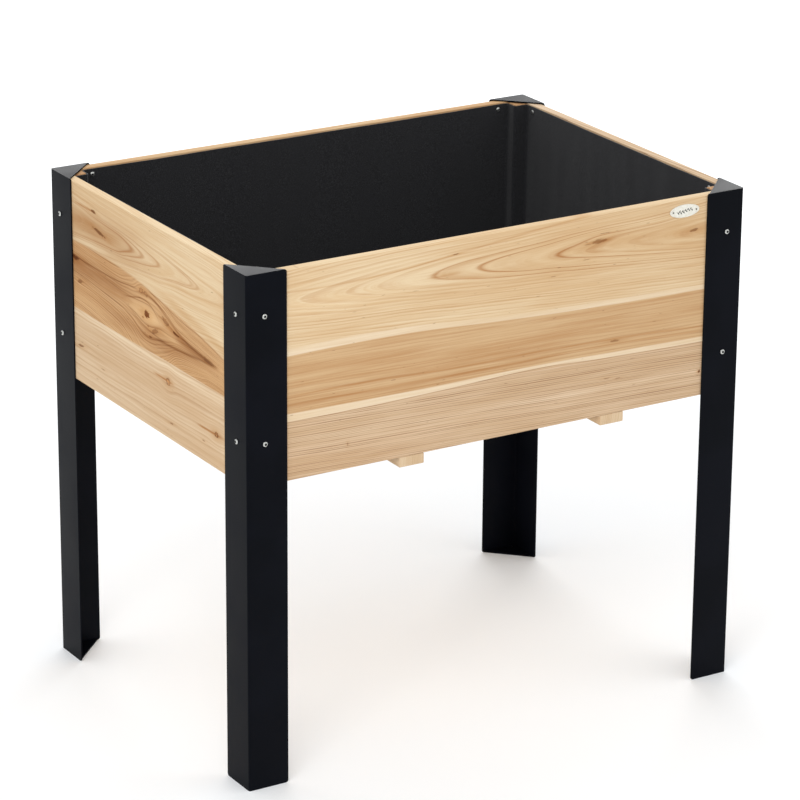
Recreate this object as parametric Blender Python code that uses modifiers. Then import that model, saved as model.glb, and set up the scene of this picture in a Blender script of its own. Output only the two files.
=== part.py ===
"""Raised planter: an edge-glued softwood box with a fabric liner, carried by four folded steel legs.

Sizes are in metres. X runs along the box, the front faces -Y, and Z = 0 is the ground.
"""

import math
from typing import NamedTuple

import bmesh
import bpy
from mathutils import Matrix, Vector

# Overall sizes
LENGTH = 0.820  # along X, over the outer faces of the legs
WIDTH = 0.585  # along Y, over the outer faces of the legs
HEIGHT = 0.760  # ground to the top of the legs
PANEL_HEIGHT = 0.304  # of the four wall panels

# Clearances
FIT = 0.0003  # between two pieces that touch
SLAT_END_CLEARANCE = 0.0010  # between a slat's end and the short panel

# Legs: angles folded from sheet, closed by a cap plate and a foot plate
SHEET = 0.0020
FLANGE = 0.0630
FOLD_INNER_RADIUS = 0.0010
FLANGE_CORNER_RADIUS = 0.0040
DRAIN_HOLE_DIAMETER = 0.0050
DRAIN_HOLE_FROM_SHEET = 0.0035  # from the inner faces of both flanges to the hole's centre

# Wall panels: the top board takes what the other two leave of the panel's height
BOARD = 0.0150
EDGE_ROUND = 0.0010
LONG_MIDDLE_BOARD = 0.0830
LONG_BOTTOM_BOARD = 0.0830
SHORT_MIDDLE_BOARD = 0.0780
SHORT_BOTTOM_BOARD = 0.1130

# Corner posts, bottom slats and battens
POST = 0.0210
POST_DROP = 0.0010  # from the panels' top edge down to the post's top
SLAT_COUNT = 6
SLAT_GAP = 0.0085
SLAT = 0.0100
BATTEN_WIDTH = 0.0400
BATTEN = 0.0150
LEFT_BATTEN_FROM_END = 0.2640  # from the left end of the planter to the batten's centre
RIGHT_BATTEN_FROM_END = 0.2190  # from the right end of the planter to the batten's centre

# Liner
LINER = 0.0015
LINER_DROP = 0.0020  # from the panels' top edge down to the liner's hem

# Label plate on the front panel
LABEL_WIDTH = 0.0510
LABEL_HEIGHT = 0.0192
LABEL = 0.0010
LABEL_EDGE_ROUND = 0.0003
LABEL_FROM_END = 0.1025  # from the right end of the planter to the label's centre
LABEL_DROP = 0.0172  # from the panel's top edge down to the label's centre
LABEL_PIN_FROM_TIP = 0.0055  # from the tip of the oval to the pin's centre

# Fasteners
LEG_SCREW_SHANK = 0.0040  # diameter
LEG_SCREW_TIP_GAP = 0.0026  # between a leg screw's tip and the screw that crosses its path in the post
LEG_SCREW_EDGE = 0.0615  # from the leg's top, and from the panels' lower edge, to a screw's centre
LINER_SCREW_FROM_POST = 0.0194  # from the post's side to the screw's centre
LINER_SCREW_DROP = 0.0100  # from the panels' top edge down to the screw's centre

ROUND_STEPS = 16  # sides of a turned fastener and of its hole
DOME_STEPS = 3
SOCKET_SIDES = 6
ARC_STEPS = 4  # of the legs' folds and rounded corners
LABEL_STEPS = 48
OVERCUT = 0.0010  # how far a cutter runs past the face it cuts
WELD = 0.00001  # points closer than this are merged
SHARP_ANGLE = math.radians(35)

# Places that follow from the sizes above
PANEL_TOP = HEIGHT - SHEET - FIT
PANEL_BOTTOM = PANEL_TOP - PANEL_HEIGHT
PANEL_FACE = SHEET + FIT  # from a leg's outer face in to a panel's outer face
PANEL_BACK = PANEL_FACE + BOARD  # from a leg's outer face in to a panel's inner face
POST_FACE = PANEL_BACK + FIT  # from a leg's outer face in to the post's outer face
POST_CENTRE = POST_FACE + POST / 2
POST_BACK = POST_FACE + POST
SLAT_TOP = PANEL_BOTTOM + SLAT
FOLD_OUTER_RADIUS = SHEET + FOLD_INNER_RADIUS
LEG_SCREW_LENGTH = POST_CENTRE - LEG_SCREW_SHANK / 2 - LEG_SCREW_TIP_GAP

# Colour, roughness and metallic value of each finish
FINISHES = {
    "powder_coat": ((0.012, 0.013, 0.016, 1), 0.45, 0.0),
    "top_board_wood": ((0.76, 0.58, 0.36, 1), 0.60, 0.0),
    "middle_board_wood": ((0.62, 0.40, 0.21, 1), 0.60, 0.0),
    "bottom_board_wood": ((0.65, 0.46, 0.28, 1), 0.60, 0.0),
    "post_wood": ((0.50, 0.34, 0.20, 1), 0.70, 0.0),
    "slat_wood": ((0.66, 0.49, 0.30, 1), 0.70, 0.0),
    "batten_wood": ((0.70, 0.52, 0.32, 1), 0.65, 0.0),
    "liner_fabric": ((0.010, 0.010, 0.011, 1), 0.95, 0.0),
    "label_plate": ((0.82, 0.80, 0.72, 1), 0.40, 0.0),
    "label_pin": ((0.10, 0.09, 0.08, 1), 0.45, 1.0),
    "zinc": ((0.75, 0.76, 0.74, 1), 0.35, 1.0),
}


class Fastener(NamedTuple):
    """The sizes of a turned fastener with a domed head. A socket of 0 leaves the head plain."""

    head: float  # diameter
    head_height: float
    rim: float  # height of the head's straight edge
    shank: float  # diameter
    length: float  # under the head
    socket: float = 0.0  # across the flats
    socket_depth: float = 0.0


LEG_SCREW = Fastener(
    head=0.0074,
    head_height=0.0022,
    rim=0.0008,
    shank=LEG_SCREW_SHANK,
    length=LEG_SCREW_LENGTH,
    socket=0.0034,
    socket_depth=0.0014,
)
LINER_SCREW = Fastener(
    head=0.0072,
    head_height=0.0018,
    rim=0.0006,
    shank=0.0030,
    length=0.0120,
    socket=0.0024,
    socket_depth=0.0010,
)
BATTEN_SCREW = Fastener(
    head=0.0075,
    head_height=0.0020,
    rim=0.0006,
    shank=0.0035,
    length=0.0350,
    socket=0.0026,
    socket_depth=0.0012,
)
LABEL_PIN = Fastener(head=0.0022, head_height=0.0007, rim=0.0002, shank=0.0012, length=0.0070)


def clear_scene():
    for item in list(bpy.data.objects):
        bpy.data.objects.remove(item, do_unlink=True)


def new_collection(name):
    collection = bpy.data.collections.new(name)
    bpy.context.scene.collection.children.link(collection)
    return collection


def make_finish(name):
    colour, roughness, metallic = FINISHES[name]
    material = bpy.data.materials.new(name)
    material.use_nodes = True
    shader = material.node_tree.nodes["Principled BSDF"]
    shader.inputs["Base Color"].default_value = colour
    shader.inputs["Roughness"].default_value = roughness
    shader.inputs["Metallic"].default_value = metallic
    material.diffuse_color = colour
    return material


def bmesh_to_mesh(shape, name):
    mesh = bpy.data.meshes.new(name)
    shape.to_mesh(mesh)
    shape.free()
    return mesh


def shade_round(mesh):
    mesh.shade_smooth()
    mesh.set_sharp_from_angle(angle=SHARP_ANGLE)


class Planter:
    """The planter's collections, finishes and parent empty, and the ways a piece is added to them."""

    def __init__(self):
        self.parts = new_collection("raised_planter")
        self.cutters = new_collection("cutters")
        self.finishes = {name: make_finish(name) for name in FINISHES}
        self.frame = bpy.data.objects.new("planter_frame", None)
        self.parts.objects.link(self.frame)

    def part(self, name, mesh, finish, location=(0, 0, 0), turn=0.0):
        """Adds a piece that stands at location, turned about Z, with its finish."""
        piece = bpy.data.objects.new(name, mesh)
        if not mesh.materials:
            mesh.materials.append(self.finishes[finish])
        self.parts.objects.link(piece)
        piece.parent = self.frame
        piece.location = location
        piece.rotation_euler = (0, 0, turn)
        return piece

    def cutter(self, name, mesh):
        tool = bpy.data.objects.new(name, mesh)
        self.cutters.objects.link(tool)
        tool.hide_render = True
        tool.display_type = "WIRE"
        return tool

    def baked(self, blank, tools=()):
        """The blank's mesh after its modifiers and the cuts of its tools, which are then removed."""
        for tool in tools:
            cut(blank, tool)
        bpy.context.view_layer.update()
        graph = bpy.context.evaluated_depsgraph_get()
        mesh = bpy.data.meshes.new_from_object(blank.evaluated_get(graph))
        mesh.name = blank.name
        for item in (blank, *tools):
            bpy.data.objects.remove(item, do_unlink=True)
        return mesh


def cut(piece, tool):
    modifier = piece.modifiers.new("cut_" + tool.name, "BOOLEAN")
    modifier.operation = "DIFFERENCE"
    modifier.solver = "EXACT"
    modifier.object = tool


def box_shape(size):
    shape = bmesh.new()
    bmesh.ops.create_cube(shape, size=1.0)
    bmesh.ops.scale(shape, vec=size, verts=shape.verts)
    return shape


def round_edges(shape, wanted, radius, steps=2):
    edges = [edge for edge in shape.edges if wanted(edge)]
    bmesh.ops.bevel(
        shape,
        geom=edges,
        offset=radius,
        offset_type="OFFSET",
        segments=steps,
        profile=0.5,
        affect="EDGES",
        clamp_overlap=True,
    )


def strip_mesh(name, size):
    """A planed strip of wood with all its edges eased."""
    shape = box_shape(size)
    round_edges(shape, lambda edge: True, EDGE_ROUND, steps=1)
    return bmesh_to_mesh(shape, name)


def outline_prism(outline, low, high):
    """A prism on a closed outline in the XY plane, from height low to height high."""
    shape = bmesh.new()
    floor = shape.faces.new([shape.verts.new((x, y, low)) for x, y in outline])
    raised = bmesh.ops.extrude_face_region(shape, geom=[floor])
    top = [item for item in raised["geom"] if isinstance(item, bmesh.types.BMVert)]
    bmesh.ops.translate(shape, vec=(0, 0, high - low), verts=top)
    bmesh.ops.recalc_face_normals(shape, faces=shape.faces)
    return shape


def arc_points(centre, radius, start, end):
    """Points of an arc about centre, from one angle to another, in degrees."""
    points = []
    for step in range(ARC_STEPS + 1):
        angle = math.radians(start + (end - start) * step / ARC_STEPS)
        points.append((centre + radius * math.cos(angle), centre + radius * math.sin(angle)))
    return points


def leg_mesh(planter):
    """A leg with its fold at the origin and its flanges along +X and +Y.

    The blank is a prism on the outline of the flanges and plates together. The pocket leaves the sheet of
    the flanges, the cap and the foot.
    """
    fold_centre = FOLD_OUTER_RADIUS
    plate = FLANGE - FLANGE_CORNER_RADIUS
    outline = arc_points(fold_centre, FOLD_OUTER_RADIUS, 180, 270)
    outline += [(FLANGE, 0), (FLANGE, SHEET), (plate, SHEET)]
    outline += [(SHEET, plate), (SHEET, FLANGE), (0, FLANGE)]
    shape = outline_prism(outline, 0, HEIGHT)

    def is_flange_corner(edge):
        first, second = (vertex.co for vertex in edge.verts)
        middle = (first + second) / 2
        at_end = max(middle.x, middle.y) > FLANGE - FIT
        return at_end and abs(first.z - second.z) < FIT

    round_edges(shape, is_flange_corner, FLANGE_CORNER_RADIUS, ARC_STEPS)
    blank = planter.cutter("leg", bmesh_to_mesh(shape, "leg"))

    pocket_outline = arc_points(fold_centre, FOLD_INNER_RADIUS, 180, 270)
    pocket_outline += [(FLANGE, SHEET), (FLANGE, FLANGE), (SHEET, FLANGE)]
    pocket_shape = outline_prism(pocket_outline, SHEET, HEIGHT - SHEET)
    pocket = planter.cutter("leg_pocket", bmesh_to_mesh(pocket_shape, "leg_pocket"))

    drain_centre = SHEET + DRAIN_HOLE_FROM_SHEET
    drain_shape = bmesh.new()
    add_rod(
        drain_shape,
        Vector((drain_centre, drain_centre, -OVERCUT)),
        Vector((0, 0, 1)),
        SHEET + 2 * OVERCUT,
        DRAIN_HOLE_DIAMETER / 2,
    )
    drain = planter.cutter("drain_hole", bmesh_to_mesh(drain_shape, "drain_hole"))
    mesh = planter.baked(blank, (pocket, drain))
    shade_round(mesh)
    return mesh


def add_rod(shape, start, direction, length, radius):
    """Adds a closed cylinder that begins at start and runs along direction."""
    turn = Vector((0, 0, 1)).rotation_difference(direction).to_matrix().to_4x4()
    place = Matrix.Translation(start + direction * length / 2) @ turn
    bmesh.ops.create_cone(
        shape,
        cap_ends=True,
        segments=ROUND_STEPS,
        radius1=radius,
        radius2=radius,
        depth=length,
        matrix=place,
    )


def fastener_mesh(planter, name, sizes):
    """A turned fastener: its head's underside is at Z = 0 and its shank runs down from there."""
    head_radius = sizes.head / 2
    shank_radius = sizes.shank / 2
    dome = sizes.head_height - sizes.rim
    profile = []
    for step in range(DOME_STEPS + 1):
        angle = math.pi / 2 * step / DOME_STEPS
        profile.append((head_radius * math.sin(angle), sizes.rim + dome * math.cos(angle)))
    profile.append((head_radius, 0))
    profile.append((shank_radius, 0))
    profile.append((shank_radius, -sizes.length + sizes.shank))
    profile.append((0, -sizes.length))

    outline = bmesh.new()
    vertices = [outline.verts.new((x, 0, z)) for x, z in profile]
    for first, second in zip(vertices, vertices[1:]):
        outline.edges.new((first, second))
    blank = planter.cutter(name, bmesh_to_mesh(outline, name))
    turning = blank.modifiers.new("turning", "SCREW")
    turning.steps = ROUND_STEPS
    turning.render_steps = ROUND_STEPS
    turning.use_merge_vertices = True
    turning.merge_threshold = WELD

    tools = ()
    if sizes.socket:
        socket_shape = bmesh.new()
        reach = sizes.socket_depth + OVERCUT
        corner_radius = sizes.socket / 2 / math.cos(math.pi / SOCKET_SIDES)
        bmesh.ops.create_cone(
            socket_shape,
            cap_ends=True,
            segments=SOCKET_SIDES,
            radius1=corner_radius,
            radius2=corner_radius,
            depth=reach,
            matrix=Matrix.Translation((0, 0, sizes.head_height - sizes.socket_depth + reach / 2)),
        )
        tools = (planter.cutter(name + "_socket", bmesh_to_mesh(socket_shape, name + "_socket")),)
    mesh = planter.baked(blank, tools)
    shade_round(mesh)
    return mesh


class FastenerRow:
    """Fasteners of one kind: where each enters the face under its head, and the way it points."""

    def __init__(self, name, sizes, finish):
        self.name = name
        self.sizes = sizes
        self.finish = finish
        self.places = []

    def add(self, label, face_point, inward):
        inward = Vector(inward)
        self.places.append((label, Vector(face_point) - inward * FIT, inward))

    def holes(self, planter):
        """A cutter with a clearance hole for every shank."""
        shape = bmesh.new()
        depth = OVERCUT + self.sizes.length + FIT
        for _, start, inward in self.places:
            add_rod(shape, start - inward * OVERCUT, inward, depth, self.sizes.shank / 2 + FIT)
        return planter.cutter(self.name + "_holes", bmesh_to_mesh(shape, self.name + "_holes"))

    def build(self, planter):
        mesh = fastener_mesh(planter, self.name, self.sizes)
        for label, start, inward in self.places:
            piece = planter.part(f"{self.name}_{label}", mesh, self.finish, start)
            piece.rotation_euler = (-inward).to_track_quat("Z", "Y").to_euler()


def side_places(from_end, face_inset):
    """Points near both ends of every wall, with the direction into the box at each.

    They lie from_end from the planter's ends, on a face that is face_inset in from the legs' outer faces.
    """
    along_x = LENGTH / 2 - from_end
    along_y = WIDTH / 2 - from_end
    half_x = LENGTH / 2 - face_inset
    half_y = WIDTH / 2 - face_inset
    for end, name in ((-1, "left"), (1, "right")):
        yield "front_" + name, (end * along_x, -half_y), (0, 1, 0)
        yield "back_" + name, (end * along_x, half_y), (0, -1, 0)
    for end, name in ((-1, "front"), (1, "back")):
        yield "left_" + name, (-half_x, end * along_y), (1, 0, 0)
        yield "right_" + name, (half_x, end * along_y), (-1, 0, 0)


def leg_screws():
    row = FastenerRow("leg_screw", LEG_SCREW, "zinc")
    heights = (("upper", HEIGHT - LEG_SCREW_EDGE), ("lower", PANEL_BOTTOM + LEG_SCREW_EDGE))
    for label, (x, y), inward in side_places(POST_CENTRE, 0):
        for level, height in heights:
            row.add(f"{label}_{level}", (x, y, height), inward)
    return row


def liner_screws():
    """Driven from inside the box, through the liner into the panels."""
    row = FastenerRow("liner_screw", LINER_SCREW, "zinc")
    liner_face = PANEL_BACK + FIT + LINER
    from_end = POST_BACK + LINER_SCREW_FROM_POST
    height = PANEL_TOP - LINER_SCREW_DROP
    for label, (x, y), inward in side_places(from_end, liner_face):
        row.add(label, (x, y, height), -Vector(inward))
    return row


def batten_places():
    return (
        ("left", -LENGTH / 2 + LEFT_BATTEN_FROM_END),
        ("right", LENGTH / 2 - RIGHT_BATTEN_FROM_END),
    )


def batten_screws():
    row = FastenerRow("batten_screw", BATTEN_SCREW, "zinc")
    board_middle = WIDTH / 2 - PANEL_FACE - BOARD / 2
    underside = PANEL_BOTTOM - FIT - BATTEN
    for label, x in batten_places():
        for end, side in ((-1, "front"), (1, "back")):
            row.add(f"{label}_{side}", (x, end * board_middle, underside), (0, 0, 1))
    return row


def label_centre():
    face = -WIDTH / 2 + PANEL_FACE - FIT
    return Vector((LENGTH / 2 - LABEL_FROM_END, face, PANEL_TOP - LABEL_DROP))


def label_pins():
    row = FastenerRow("label_pin", LABEL_PIN, "label_pin")
    centre = label_centre()
    reach = LABEL_WIDTH / 2 - LABEL_PIN_FROM_TIP
    for end, name in ((-1, "left"), (1, "right")):
        row.add(name, centre + Vector((end * reach, -LABEL, 0)), (0, 1, 0))
    return row


def board_mesh(name, length, height, is_top, is_bottom):
    """A board of a glued panel: only the panel's own outer edges are eased, not the glued ones."""
    shape = box_shape((length, BOARD, height))

    def is_panel_edge(edge):
        first, second = (vertex.co for vertex in edge.verts)
        middle = (first + second) / 2
        if abs(first.z - second.z) > FIT:
            return True
        return (middle.z > 0 and is_top) or (middle.z < 0 and is_bottom)

    round_edges(shape, is_panel_edge, EDGE_ROUND)
    return bmesh_to_mesh(shape, name)


def build_panel(planter, name, length, middle_board, bottom_board, centre, turn, tools):
    """Three boards one above the other, with a glue line between them."""
    lower_seam = PANEL_BOTTOM + bottom_board
    upper_seam = lower_seam + middle_board
    seams = (PANEL_BOTTOM, lower_seam, upper_seam, PANEL_TOP)
    for index, level in enumerate(("bottom", "middle", "top")):
        low = seams[index] + (FIT / 2 if index > 0 else 0)
        high = seams[index + 1] - (FIT / 2 if index < 2 else 0)
        board_name = f"{name}_{level}_board"
        mesh = board_mesh(board_name, length, high - low, index == 2, index == 0)
        place = (centre[0], centre[1], (low + high) / 2)
        board = planter.part(board_name, mesh, level + "_board_wood", place, turn)
        for tool in tools[level]:
            cut(board, tool)


def build_panels(planter, leg_holes, liner_holes, batten_holes, pin_holes):
    long_length = LENGTH - 2 * PANEL_FACE
    short_length = WIDTH - 2 * (PANEL_BACK + FIT)
    long_y = WIDTH / 2 - PANEL_FACE - BOARD / 2
    short_x = LENGTH / 2 - PANEL_FACE - BOARD / 2
    quarter = math.pi / 2
    for name, side in (("front", -1), ("back", 1)):
        top_tools = (leg_holes, liner_holes) + ((pin_holes,) if name == "front" else ())
        tools = {"top": top_tools, "middle": (leg_holes,), "bottom": (leg_holes, batten_holes)}
        centre = (0, side * long_y)
        build_panel(planter, name, long_length, LONG_MIDDLE_BOARD, LONG_BOTTOM_BOARD, centre, 0, tools)
    for name, side in (("left", -1), ("right", 1)):
        tools = {"top": (leg_holes, liner_holes), "middle": (leg_holes,), "bottom": (leg_holes,)}
        centre = (side * short_x, 0)
        build_panel(
            planter, name, short_length, SHORT_MIDDLE_BOARD, SHORT_BOTTOM_BOARD, centre, quarter, tools
        )


def build_legs(planter, holes):
    mesh = leg_mesh(planter)
    corners = (
        ("front_left", -1, -1, 0),
        ("front_right", 1, -1, 90),
        ("back_right", 1, 1, 180),
        ("back_left", -1, 1, 270),
    )
    for name, side_x, side_y, degrees in corners:
        place = (side_x * LENGTH / 2, side_y * WIDTH / 2, 0)
        leg = planter.part(f"{name}_leg", mesh, "powder_coat", place, math.radians(degrees))
        cut(leg, holes)


def build_posts(planter, holes):
    low = SLAT_TOP + FIT
    high = PANEL_TOP - POST_DROP
    mesh = strip_mesh("corner_post", (POST, POST, high - low))
    for end_y, front in ((-1, "front"), (1, "back")):
        for end_x, left in ((-1, "left"), (1, "right")):
            x = end_x * (LENGTH / 2 - POST_CENTRE)
            y = end_y * (WIDTH / 2 - POST_CENTRE)
            post = planter.part(f"{front}_{left}_post", mesh, "post_wood", (x, y, (low + high) / 2))
            cut(post, holes)


def build_floor(planter, batten_holes):
    """Slats laid lengthwise on the battens, with a drainage gap beside each."""
    inner_width = WIDTH - 2 * PANEL_BACK
    slat_length = LENGTH - 2 * (PANEL_BACK + SLAT_END_CLEARANCE)
    slat_width = (inner_width - (SLAT_COUNT + 1) * SLAT_GAP) / SLAT_COUNT
    slat_mesh = strip_mesh("slat", (slat_length, slat_width, SLAT))
    for index in range(SLAT_COUNT):
        y = -inner_width / 2 + SLAT_GAP + slat_width / 2 + index * (slat_width + SLAT_GAP)
        planter.part(f"floor_slat_{index + 1}", slat_mesh, "slat_wood", (0, y, PANEL_BOTTOM + SLAT / 2))
    batten_mesh = strip_mesh("batten", (BATTEN_WIDTH, WIDTH - 2 * PANEL_FACE, BATTEN))
    for label, x in batten_places():
        place = (x, 0, PANEL_BOTTOM - FIT - BATTEN / 2)
        batten = planter.part(f"{label}_batten", batten_mesh, "batten_wood", place)
        cut(batten, batten_holes)


def build_liner(planter, holes):
    """An open-topped tray that steps round the posts, as a surface given the fabric's thickness inwards."""
    x = LENGTH / 2 - PANEL_BACK - FIT
    y = WIDTH / 2 - PANEL_BACK - FIT
    step = POST + FIT
    outline = []
    for side_x, side_y in ((1, 1), (-1, 1), (-1, -1), (1, -1)):
        inner = (side_x * (x - step), side_y * (y - step))
        on_short = (side_x * x, side_y * (y - step))
        on_long = (side_x * (x - step), side_y * y)
        corner = (on_short, inner, on_long)
        outline += corner if side_x * side_y > 0 else corner[::-1]
    low = SLAT_TOP + FIT
    high = PANEL_TOP - LINER_DROP
    shape = outline_prism(outline, low, high)
    lid = [face for face in shape.faces if face.calc_center_median().z > high - FIT]
    bmesh.ops.delete(shape, geom=lid, context="FACES_ONLY")
    liner = planter.part("liner", bmesh_to_mesh(shape, "liner"), "liner_fabric")
    thickness = liner.modifiers.new("fabric", "SOLIDIFY")
    thickness.thickness = LINER
    thickness.offset = -1
    thickness.use_even_offset = True
    cut(liner, holes)


def build_label(planter, holes):
    shape = bmesh.new()
    bmesh.ops.create_cone(
        shape,
        cap_ends=True,
        segments=LABEL_STEPS,
        radius1=0.5,
        radius2=0.5,
        depth=LABEL,
        matrix=Matrix.Rotation(math.pi / 2, 4, "X"),
    )
    bmesh.ops.scale(shape, vec=(LABEL_WIDTH, 1, LABEL_HEIGHT), verts=shape.verts)
    round_edges(
        shape,
        lambda edge: all(vertex.co.y < 0 for vertex in edge.verts),
        LABEL_EDGE_ROUND,
        steps=1,
    )
    mesh = bmesh_to_mesh(shape, "label_plate")
    shade_round(mesh)
    centre = label_centre() + Vector((0, -LABEL / 2, 0))
    label = planter.part("label_plate", mesh, "label_plate", centre)
    cut(label, holes)


def main():
    clear_scene()
    planter = Planter()
    leg_row, liner_row, batten_row, pin_row = leg_screws(), liner_screws(), batten_screws(), label_pins()
    leg_holes = leg_row.holes(planter)
    liner_holes = liner_row.holes(planter)
    batten_holes = batten_row.holes(planter)
    pin_holes = pin_row.holes(planter)
    build_legs(planter, leg_holes)
    build_panels(planter, leg_holes, liner_holes, batten_holes, pin_holes)
    build_posts(planter, leg_holes)
    build_floor(planter, batten_holes)
    build_liner(planter, liner_holes)
    build_label(planter, pin_holes)
    for row in (leg_row, liner_row, batten_row, pin_row):
        row.build(planter)


main()
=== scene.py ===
"""Looks of the raised planter: fir walls, black steel legs, zinc screws, a felt liner and a small label.

Sizes are in metres and colours are given as 0-255 display values. Only the borders, streaks and knots of the
walls are in millimetres. X runs along the box, the front faces -Y, and Z = 0 is the ground.
"""

import math
from typing import NamedTuple

import bmesh
import bpy
from mathutils import Matrix, Vector, noise


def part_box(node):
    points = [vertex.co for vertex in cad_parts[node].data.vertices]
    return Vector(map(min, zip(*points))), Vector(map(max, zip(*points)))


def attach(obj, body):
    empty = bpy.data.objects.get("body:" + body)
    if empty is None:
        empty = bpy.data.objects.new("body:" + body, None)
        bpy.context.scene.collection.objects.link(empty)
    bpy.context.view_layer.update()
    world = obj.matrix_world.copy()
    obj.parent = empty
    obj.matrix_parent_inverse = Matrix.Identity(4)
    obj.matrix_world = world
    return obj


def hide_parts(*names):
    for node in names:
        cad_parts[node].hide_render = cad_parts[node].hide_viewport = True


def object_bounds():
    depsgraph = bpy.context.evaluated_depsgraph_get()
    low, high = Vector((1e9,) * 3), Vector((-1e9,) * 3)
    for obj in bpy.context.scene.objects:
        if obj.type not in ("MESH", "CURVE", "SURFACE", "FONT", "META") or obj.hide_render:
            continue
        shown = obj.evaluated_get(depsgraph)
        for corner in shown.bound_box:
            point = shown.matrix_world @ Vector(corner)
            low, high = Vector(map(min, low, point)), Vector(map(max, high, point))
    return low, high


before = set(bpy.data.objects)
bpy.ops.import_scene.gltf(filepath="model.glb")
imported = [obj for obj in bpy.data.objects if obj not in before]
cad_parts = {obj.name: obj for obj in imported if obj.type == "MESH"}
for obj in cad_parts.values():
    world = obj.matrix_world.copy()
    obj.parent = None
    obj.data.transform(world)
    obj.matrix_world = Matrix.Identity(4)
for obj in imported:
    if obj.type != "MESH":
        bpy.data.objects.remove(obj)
cad_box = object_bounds()


def size_of(node):
    low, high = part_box(node)
    return high - low


def centre_of(node):
    low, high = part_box(node)
    return (low + high) / 2


# Nodes, for shaders and for geometry


class Value:
    """A node's output. Using it in an expression adds Math nodes to its tree."""

    def __init__(self, graph, socket):
        self.graph = graph
        self.socket = socket

    def output(self, key):
        """Another output of the same node."""
        return Value(self.graph, self.socket.node.outputs[key])

    def math(self, operation, *others):
        return self.graph.math(operation, self, *others)

    def bell(self):
        """1 where the value is 0, fading out on both sides of it."""
        return (-(self * self)).math("EXPONENT")

    def __add__(self, other):
        return self.math("ADD", other)

    def __sub__(self, other):
        return self.math("SUBTRACT", other)

    def __rsub__(self, other):
        return self.graph.math("SUBTRACT", other, self)

    def __mul__(self, other):
        return self.math("MULTIPLY", other)

    def __truediv__(self, other):
        return self.math("DIVIDE", other)

    def __pow__(self, other):
        return self.math("POWER", other)

    def __neg__(self):
        return self * -1.0


class Graph:
    """A node tree, with one method that adds any node and a few short forms of it."""

    def __init__(self, tree):
        self.tree = tree

    def add(self, kind, settings=None, inputs=None, output=0):
        """Adds a node with its settings and its inputs, and gives one of its outputs, named or numbered."""
        node = self.tree.nodes.new(kind)
        for name, value in (settings or {}).items():
            if name == "points":
                self.shape_curve(node, value)
            elif name == "item_count":
                while len(node.index_switch_items) < value:
                    node.index_switch_items.new()
            else:
                setattr(node, name, value)
        self.fill(node, inputs or {})
        return Value(self, node.outputs[output]) if node.outputs else None

    def fill(self, node, inputs):
        """Links or sets a node's inputs, named or numbered."""
        for key, value in inputs.items():
            if isinstance(value, Value):
                self.tree.links.new(value.socket, node.inputs[key])
            else:
                node.inputs[key].default_value = value

    def shape_curve(self, node, points):
        curve = node.mapping.curves[0]
        while len(curve.points) < len(points):
            curve.points.new(0.5, 0.5)
        for knob, (x, y) in zip(curve.points, points):
            knob.location = (x, y)
        node.mapping.update()

    def math(self, operation, *values):
        return self.add("ShaderNodeMath", {"operation": operation}, dict(enumerate(values)))

    def vector(self, x, y, z):
        return self.add("ShaderNodeCombineXYZ", None, {"X": x, "Y": y, "Z": z})

    def split(self, vector):
        x = self.add("ShaderNodeSeparateXYZ", None, {0: vector})
        return x, x.output(1), x.output(2)

    def rise(self, value, low, high, start=0.0, end=1.0):
        """A smooth step from start, at low, to end, at high."""
        inputs = {0: value, 1: low, 2: high, 3: start, 4: end}
        return self.add("ShaderNodeMapRange", {"interpolation_type": "SMOOTHSTEP"}, inputs)

    def noise(self, vector, scale=1.0, detail=2.0, roughness=0.5):
        inputs = {"Vector": vector, "Scale": scale, "Detail": detail, "Roughness": roughness}
        return self.add("ShaderNodeTexNoise", {"noise_dimensions": "3D"}, inputs)

    def cloud(self, x, y, z, detail=2.0, roughness=0.5):
        """Noise whose scale is in the three coordinates."""
        return self.noise(self.vector(x, y, z), 1.0, detail, roughness)

    def chance(self, value, seed):
        """A fixed random number for each whole value."""
        place = self.vector(value, seed, 0.0)
        return self.add("ShaderNodeTexWhiteNoise", {"noise_dimensions": "3D"}, {"Vector": place})

    def blend(self, factor, first, second, mode="MIX"):
        settings = {"data_type": "RGBA", "blend_type": mode, "clamp_factor": True}
        return self.add("ShaderNodeMix", settings, {0: factor, 6: first, 7: second}, 2)

    def stain(self, factor, colour, light_left):
        """Takes light away from a colour, or adds it where the share that is left is over 1."""
        return self.blend(factor, colour, light_left, "MULTIPLY")

    def place(self):
        """The point of the surface in the planter's own frame."""
        return self.add("ShaderNodeTexCoord", output="Object")

    def bump(self, height, distance, strength=1.0):
        inputs = {"Height": height, "Distance": distance, "Strength": strength}
        return self.add("ShaderNodeBump", None, inputs)


class Finish(Graph):
    """The node tree of a new material."""

    def __init__(self, name, **inputs):
        self.material = bpy.data.materials.new(name)
        self.material.use_nodes = True
        super().__init__(self.material.node_tree)
        self.shade(**inputs)

    def shade(self, **inputs):
        """Sets or links the inputs of the material's shader, written with _ for a space."""
        shader = self.tree.nodes["Principled BSDF"]
        self.fill(shader, {name.replace("_", " "): value for name, value in inputs.items()})
        return self.material


def tone(red, green, blue):
    """A display colour as the linear colour that a shader takes."""
    linear = []
    for part in (red, green, blue):
        share = part / 255
        linear.append(share / 12.92 if share <= 0.04045 else ((share + 0.055) / 1.055) ** 2.4)
    return (*linear, 1.0)


# Wood


class Timber(NamedTuple):
    """How the wood of one board shows: its colours, and the cone of its growth rings behind the face."""

    light: tuple
    deep: tuple
    line: tuple
    heart: float  # height on the wall of the line that the arches point along
    depth: float  # how far the heart lies behind the face
    tilt: float  # how fast the rings run out of the board; its sign says which way the arches open
    ring: float  # between two growth lines
    strength: float  # how dark the growth lines are
    wander: float  # how far the lines stray
    lean: float = 0.0  # rise of the heart's line along the wall
    arches: tuple = ()  # where along the wall the tips of the strongest arches lie
    crowding: tuple = ()  # how close together the lines lie, at places along the wall


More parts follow.
